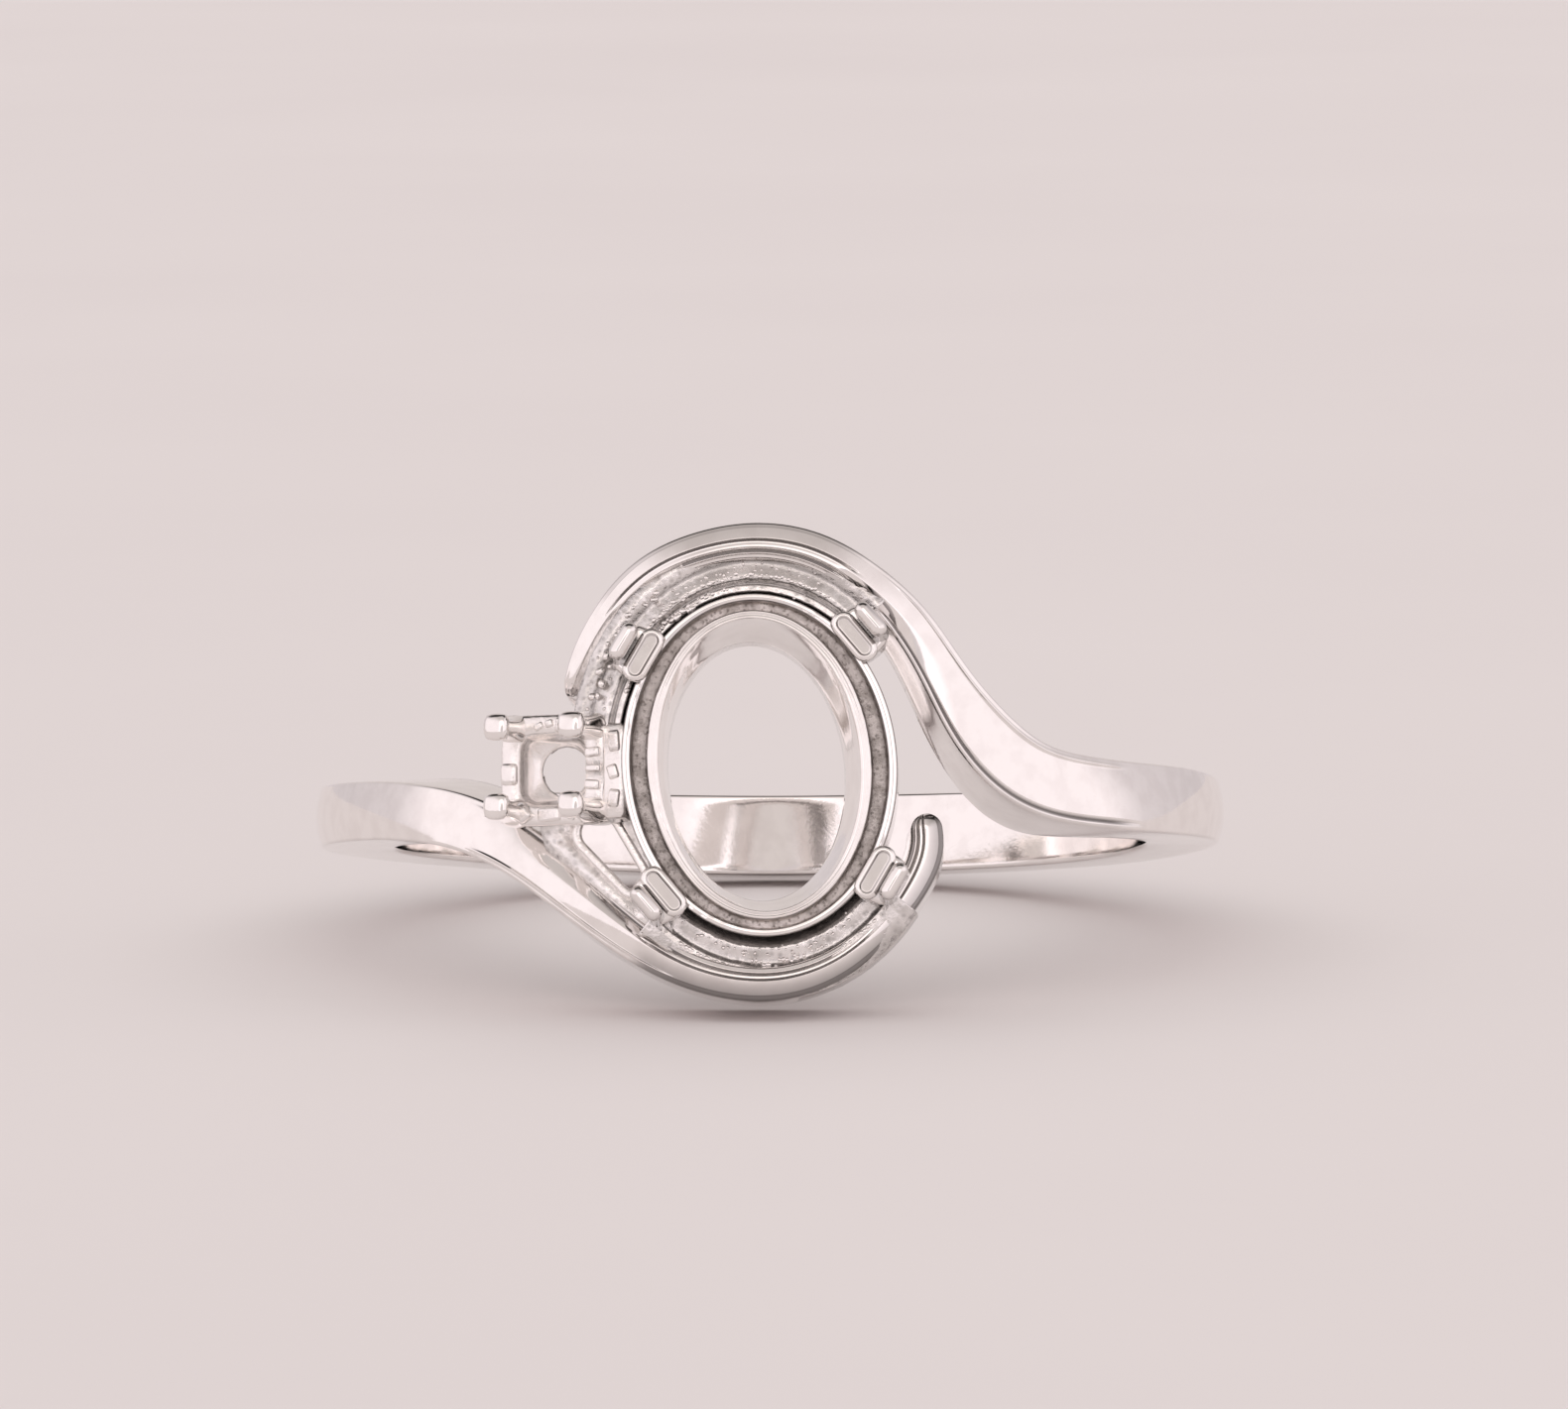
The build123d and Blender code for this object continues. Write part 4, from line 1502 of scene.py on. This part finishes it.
@dataclass
class SolderWebs:
    """The rough fill between the oval and both arms."""

    oval: Oval
    accent: AccentHead
    # each step's last number is painted shade, darkest in the creases and at the rim's foot
    webs: tuple[Web, Web] = (
        Web("upper_web", 43.0, 166.0, 5.0, (
            (1.15, 0.46, 1, 0.1), (0.95, 0.43, 1, 0.1), (0.8, 0.46, 0.6, 0.1), (0.74, 0.53, 0.6, 0.5),
            (0.68, 0.54, 1, 0.3), (0.6, 0.51, 1, 0.2), (0.52, 0.48, 1, 0.1), (0.46, 0.44, 1, 0),
            (0.38, 0.43, 1, 0), (0.33, 0.47, 1, 0.15), (0.28, 0.55, 0.6, 0.6), (0.24, 0.55, 0.3, 0.6),
            (0.225, 0.5, 0.1, 0.2), (0.21, 0.463, 0.1, 0), (0.2, 0.46, 0.1, 0), (0.12, 0.451, 0.1, 0),
            (0.1, 0.45, 0.1, 0), (0.08, 0.48, 0.1, 0.2), (0.06, 0.55, 0.2, 0.8),
            (0.03, 0.64, 0.4, 0.9), (-0.1, 0.68, 0.4, 0.9),
        )),
        Web("lower_web", 224.0, 317.0, 8.0, (
            (1.3, 0.52, 1, 0.1), (0.9, 0.5, 0.4, 0.1), (0.74, 0.42, 0.2, 0), (0.73, 0.42, 0.1, 0),
            (0.63, 0.431, 0.1, 0), (0.62, 0.433, 0.1, 0), (0.6, 0.5, 0.3, 0.5), (0.57, 0.58, 0.8, 0.5),
            (0.5, 0.6, 1, 0.15), (0.42, 0.58, 1, 0.05), (0.32, 0.54, 1, 0), (0.24, 0.52, 1, 0),
            (0.17, 0.53, 0.6, 0.1), (0.12, 0.58, 0.4, 0.4), (0.07, 0.66, 0.4, 0.85),
            (-0.1, 0.7, 0.4, 0.9),
        )),
    )
    bead_rows: tuple[BeadRow, ...] = (
        BeadRow(58, 128, 0.42, 0.43, 0.11, 0.045, 0.03),
        BeadRow(96, 140, 0.19, 0.47, 0.1, 0.04, 0.015),
        BeadRow(64, 118, 0.6, 0.49, 0.22, 0.035, 0.05),
        BeadRow(112, 150, 0.16, 0.44, 0.11, 0.07, 0.05),
        BeadRow(120, 160, 0.8, 0.4, 0.2, 0.07, 0.1),
        BeadRow(236, 306, 0.68, 0.43, 0.1, 0.042, 0.006),
        BeadRow(240, 300, 0.3, 0.5, 0.16, 0.035, 0.04),
        BeadRow(258, 288, 0.47, 0.57, 0.1, 0.04, 0.05),
    )
    end_share: float = 1.05
    bottom_drop: float = 1.9
    steps: int = 200
    grain_depth: float = 0.07
    grain_scale: float = 3.0
    loose_beads: float = 3.5
    loose_sizes: tuple[float, float] = (0.02, 0.05)
    bead_seed: int = 12

    def profile(self, steps: Rows) -> list[tuple[float, ...]]:
        """Closes a stepped upper surface with a plain underside.

        Args:
            steps: the steps of a web.

        Returns:
            Inset, drop, roughness, painted shade, end share and slide of each point.
        """
        outer, inner, low = steps[0][0], steps[-1][0], self.bottom_drop
        # the underside carries painted shade
        under = ((inner, low, 0.3, 0.4), ((outer + inner) / 2, low + 0.05, 0.3, 0.4))
        under += ((outer, low, 0.3, 0.4),)
        return [(-reach, *rest, self.end_share, 0.0) for reach, *rest in (*steps, *under)]

    def build(self, shop: Workshop) -> None:
        """Builds both webs and their solder beads.

        Args:
            shop: the workshop that finishes pieces.
        """
        beads = beads_tree()
        for web in self.webs:
            mesh = self.oval.lead(
                shop, web.name, self.profile(web.steps), Coat.SOLDER, start=math.radians(web.start),
                sweep=math.radians(web.end - web.start), steps=self.steps, finger_radius=0.0,
                grain_depth=self.grain_depth, grain_scale=self.grain_scale, seed=web.seed,
            )
            mesh = carve(mesh, self.accent.hollow())
            smallest, largest = self.loose_sizes
            drops = shop.grow(
                web.name + "_beads", beads, Coat.BRIGHT, mesh.copy(), density=self.loose_beads,
                smallest=smallest, largest=largest, seed=int(web.seed),
            )
            shop.piece(web.name, mesh)
            shop.piece(drops.name, drops)
        self.bead_lines(shop)

    def bead_lines(self, shop: Workshop) -> None:
        """Sets rows of small solder beads along the webs.

        Args:
            shop: the workshop that finishes pieces.
        """
        draw = np.random.default_rng(self.bead_seed)
        spots, turns, sizes = [], [], []
        for line in self.bead_rows:
            half_x = self.oval.half_width + line.reach
            half_y = self.oval.half_length + line.reach * self.end_share
            count = int(math.radians(line.end - line.start) * half_y / line.spacing)
            for angle in np.radians(np.linspace(line.start, line.end, count)):
                angle += draw.normal(0, 0.25) * line.spacing / half_y
                out = draw.normal(0, line.scatter)
                x, y = (half_x + out) * math.cos(angle), (half_y + out) * math.sin(angle)
                size = line.size * draw.uniform(0.6, 1.25)
                spots.append(self.oval.turned(x, y, line.drop))
                turns.append(angle + draw.uniform(-0.5, 0.5))
                sizes.append((size, size * draw.uniform(0.8, 1.7), size * 0.8))
        work = bmesh.new()
        bmesh.ops.create_icosphere(work, subdivisions=2, radius=1.0)
        bead = bpy.data.meshes.new("bead")
        work.to_mesh(bead)
        work.free()
        copies = (np.array(spots), turns, np.array(sizes))
        shop.piece("solder_lines", shop.repeated("solder_lines", bead, Coat.BRIGHT, *copies))


@dataclass
class Bridge:
    """The web from the small setting to the lower arm, round a pointed window."""

    accent: AccentHead
    corners: Rows = (
        (-2.4, 1.2), (-4.4, 1.0), (-5.0, -0.7), (-4.75, -1.75), (-3.75, -2.95), (-2.9, -3.78),
        (-1.9, -3.7),
    )
    top: float = 9.9
    bottom: float = 9.0
    slope: float = 0.3
    middle: tuple[float, float] = (-3.58, -1.4)
    radius: float = 0.47
    point_radius: float = 0.32
    length: float = 1.35
    turn: float = math.radians(-53.0)
    frame_drop: float = 0.1
    frame_size: tuple[float, float] = (0.22, 0.3)
    frame_corner: float = 0.08
    round_points: tuple[int, int] = (28, 16)

    def height(self, x: float, share: float) -> float:
        """Height of the plate's underside, for a share of 0, or its top, for 1."""
        top = self.top + self.slope * (x - self.middle[0])
        return self.bottom + (top - self.bottom) * share

    def window(self) -> np.ndarray:
        """Runs round the window: a round end, a small point and two straight sides.

        Returns:
            The outline's points, anticlockwise.
        """
        lean = math.asin((self.radius - self.point_radius) / self.length)
        lean, (many, few) = math.degrees(lean), self.round_points
        big = spokes(np.linspace(lean, -180 - lean, many))[:, ::2]
        small = spokes(np.linspace(180 - lean, lean, few))[:, ::2]
        end = np.array([self.length, 0.0])
        rows = np.concatenate([big * self.radius, small * self.point_radius + end])
        c, s = math.cos(self.turn), math.sin(self.turn)
        return rows @ np.array([[c, s], [-s, c]]) + np.array(self.middle)

    def outline(self, window: np.ndarray) -> np.ndarray:
        """Throws each point of the window outwards to the plate's edge.

        Args:
            window: the window's outline.

        Returns:
            A point of the plate's edge for each point of the window.
        """
        centre = window.mean(axis=0)
        way = window - centre
        reach = np.full(len(window), np.inf)
        for start, end in zip(self.corners, self.corners[1:] + self.corners[:1]):
            out = np.array([end[1] - start[1], start[0] - end[0]])
            facing, gap = way @ out, (np.array(start) - centre) @ out
            ahead = np.where(facing > 0, facing, np.nan)
            reach = np.fmin(reach, gap / ahead)
        return centre + way * reach[:, None]

    def build(self, shop: Workshop) -> None:
        """Builds the plate and the frame round its window.

        Args:
            shop: the workshop that finishes pieces.
        """
        window = self.window()
        outer, count = self.outline(window), len(window)
        loops = ((outer, 0.0), (outer, 1.0), (window, 1.0), (window, 0.0))
        points = [(x, y, self.height(x, share)) for loop, share in loops for x, y in loop]
        plate = plain_mesh("bridge", points, ring_faces(len(loops), count, looped=True))
        plate.materials.append(shop.metals[Coat.SOLDER])
        shop.piece("bridge", carve(plate, self.accent.hollow()))
        rim = [(x, y, self.height(x, 1.0) - self.frame_drop) for x, y in window]
        path = plain_mesh("window_path", rim, [])
        path.edges.add(count)
        links = np.arange(count)[:, None] + np.arange(2)
        path.edges.foreach_set("vertices", (links % count).astype(np.int32).ravel())
        width, height = self.frame_size
        border = shop.grow(
            "window_frame", framed_path_tree(), Coat.BRIGHT, path, width=width, height=height,
            corner=self.frame_corner,
        )
        shop.piece("window_frame", border)


@dataclass
class Stage:
    """The plain pale floor, the soft light all round and the camera."""

    ring: RingFrame
    floor_half: float = 1400.0
    card: tuple[Colour, Colour] = ((0.665, 0.62, 0.612), (0.70, 0.657, 0.647))
    card_roughness: float = 0.9
    card_mottle: float = 25.0
    distance: float = 200.0
    view_width: float = 34.37
    sensor: float = 36.0
    clip: tuple[float, float] = (10.0, 20000.0)
    side_turn: float = math.radians(1.2)
    tilt: float = math.radians(5.5)
    slide: tuple[float, float] = (0.543, 1.315)
    aim: tuple[float, float, float] = (0.0, 0.0, 10.9)
    # degrees from the view's direction and brightness, above and to the sides
    above: Rows = (
        (0, 0.7), (13, 0.7), (17, 1.6), (28, 1.5), (38, 0.68), (72, 0.55), (82, 0.04), (112, 0.04),
        (122, 0.6), (180, 0.72),
    )
    beside: Rows = (
        (0, 0.7), (13, 0.7), (17, 1.5), (30, 1.06), (96, 1.06), (110, 0.74), (135, 0.66),
        (180, 0.72),
    )
    above_tint: Colour = (1.0, 0.9, 0.875)
    beside_tint: Colour = (1.0, 0.905, 0.92)
    side_fade: tuple[float, float] = (0.45, 0.9)
    panel_spread: float = math.radians(110.0)
    panel_strength: float = 1.56
    panel_colour: Colour = (0.99, 1.0, 1.0)

    def axes(self) -> tuple[Vector, Vector, Vector]:
        """Turns the view's axes into the ring's frame.

        Returns:
            The view's right, up and towards directions.
        """
        side, lean = math.sin(self.side_turn), math.cos(self.side_turn)
        low, flat = math.sin(self.tilt), math.cos(self.tilt)
        towards, right = Vector((side * flat, -low, lean * flat)), Vector((lean, 0.0, -side))
        return right, towards.cross(right), towards

    def camera(self) -> None:
        """Sets the camera at the angle that the ring was seen from."""
        right, up, towards = self.axes()
        spot = Vector(self.aim) + right * self.slide[0] + up * self.slide[1]
        spot = self.ring.matrix @ (spot + towards * self.distance)
        columns = [self.ring.way(v) for v in (right, up, towards)]
        lens = bpy.data.cameras.new("camera")
        lens.sensor_fit, lens.sensor_width = "HORIZONTAL", self.sensor
        lens.lens = self.sensor * self.distance / self.view_width
        lens.clip_start, lens.clip_end = (reach * MM for reach in self.clip)
        camera = link_object("camera", lens)
        camera.matrix_world = Matrix.Translation(spot) @ Matrix(columns).transposed().to_4x4()
        bpy.context.scene.camera = camera

    def floor(self) -> None:
        """Lays a wide floor of pale, slightly mottled card."""
        half = self.floor_half * MM
        corners = [(-half, -half, 0), (half, -half, 0), (half, half, 0), (-half, half, 0)]
        mesh = plain_mesh("floor", corners, [(0, 1, 2, 3)])
        card = bpy.data.materials.new("pale_card")
        card.use_nodes = True
        r = Recipe(tree=card.node_tree)
        mottle = r.noise(self.card_mottle, 6.0, Vector=r.make("ShaderNodeTexCoord", out="Object"))
        tone = r.mix(mottle, *((*colour, 1) for colour in self.card))
        surface = {"Specular IOR Level": 0.0, "Roughness": self.card_roughness, "Base Color": tone}
        r.wire(r.tree.nodes["Principled BSDF"], surface)
        mesh.materials.append(card)
        link_object("floor", mesh)

    def light(self) -> None:
        """Lights the ring from a soft bright dome with a darker belt round it."""
        scene = bpy.context.scene
        scene.view_settings.view_transform = "Standard"
        scene.world = bpy.data.worlds.new("soft_dome")
        scene.world.use_nodes = True
        r = Recipe(tree=scene.world.node_tree)
        where = r.make("ShaderNodeTexCoord", out="Generated")
        right, _, towards = (tuple(self.ring.way(axis)) for axis in self.axes())
        angle = (where @ towards).do("ARCCOSINE")
        wires = {"Value": abs(where @ right) / angle.do("SINE")}
        wires |= {"From Min": self.side_fade[0], "From Max": self.side_fade[1]}
        sideways = r.make("ShaderNodeMapRange", wires, interpolation_type="SMOOTHSTEP")
        ramps = []
        for stops, tint in ((self.above, self.above_tint), (self.beside, self.beside_tint)):
            ramp = r.put("ShaderNodeValToRGB", {0: angle / math.pi})
            points = ramp.color_ramp.elements
            points.remove(points[1])
            for index, (degrees, value) in enumerate(stops):
                stop = points.new(degrees / 180) if index else points[0]
                stop.position = degrees / 180
                stop.color = (*(value * part for part in tint), 1)
            ramps.append(r.outputs(ramp)[0])
        r.wire(r.tree.nodes["Background"], {"Color": r.mix(sideways, *ramps)})
        lamp = bpy.data.lights.new("sky_panel", "SUN")
        lamp.angle, lamp.energy, lamp.color = self.panel_spread, self.panel_strength, self.panel_colour
        link_object("sky_panel", lamp).visible_glossy = False

    def build(self) -> None:
        """Makes the camera, the floor and the light."""
        self.camera()
        self.floor()
        self.light()


def main() -> None:
    """Builds the stage and the ring's parts in order."""
    logging.basicConfig(level=logging.INFO, format="%(message)s")
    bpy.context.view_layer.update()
    ring = RingFrame.from_record(frame["record"])
    Stage(ring).build()
    groups = (scratches_group(), grain_group())
    shop = Workshop(ring, {coat: coat.value.make(*groups) for coat in Coat})
    oval = Oval()
    accent = AccentHead(oval)
    for part in (Band(), OvalHead(oval), Prongs(oval), accent, SolderWebs(oval, accent), Bridge(accent)):
        part.build(shop)


if __name__ == "__main__":
    main()
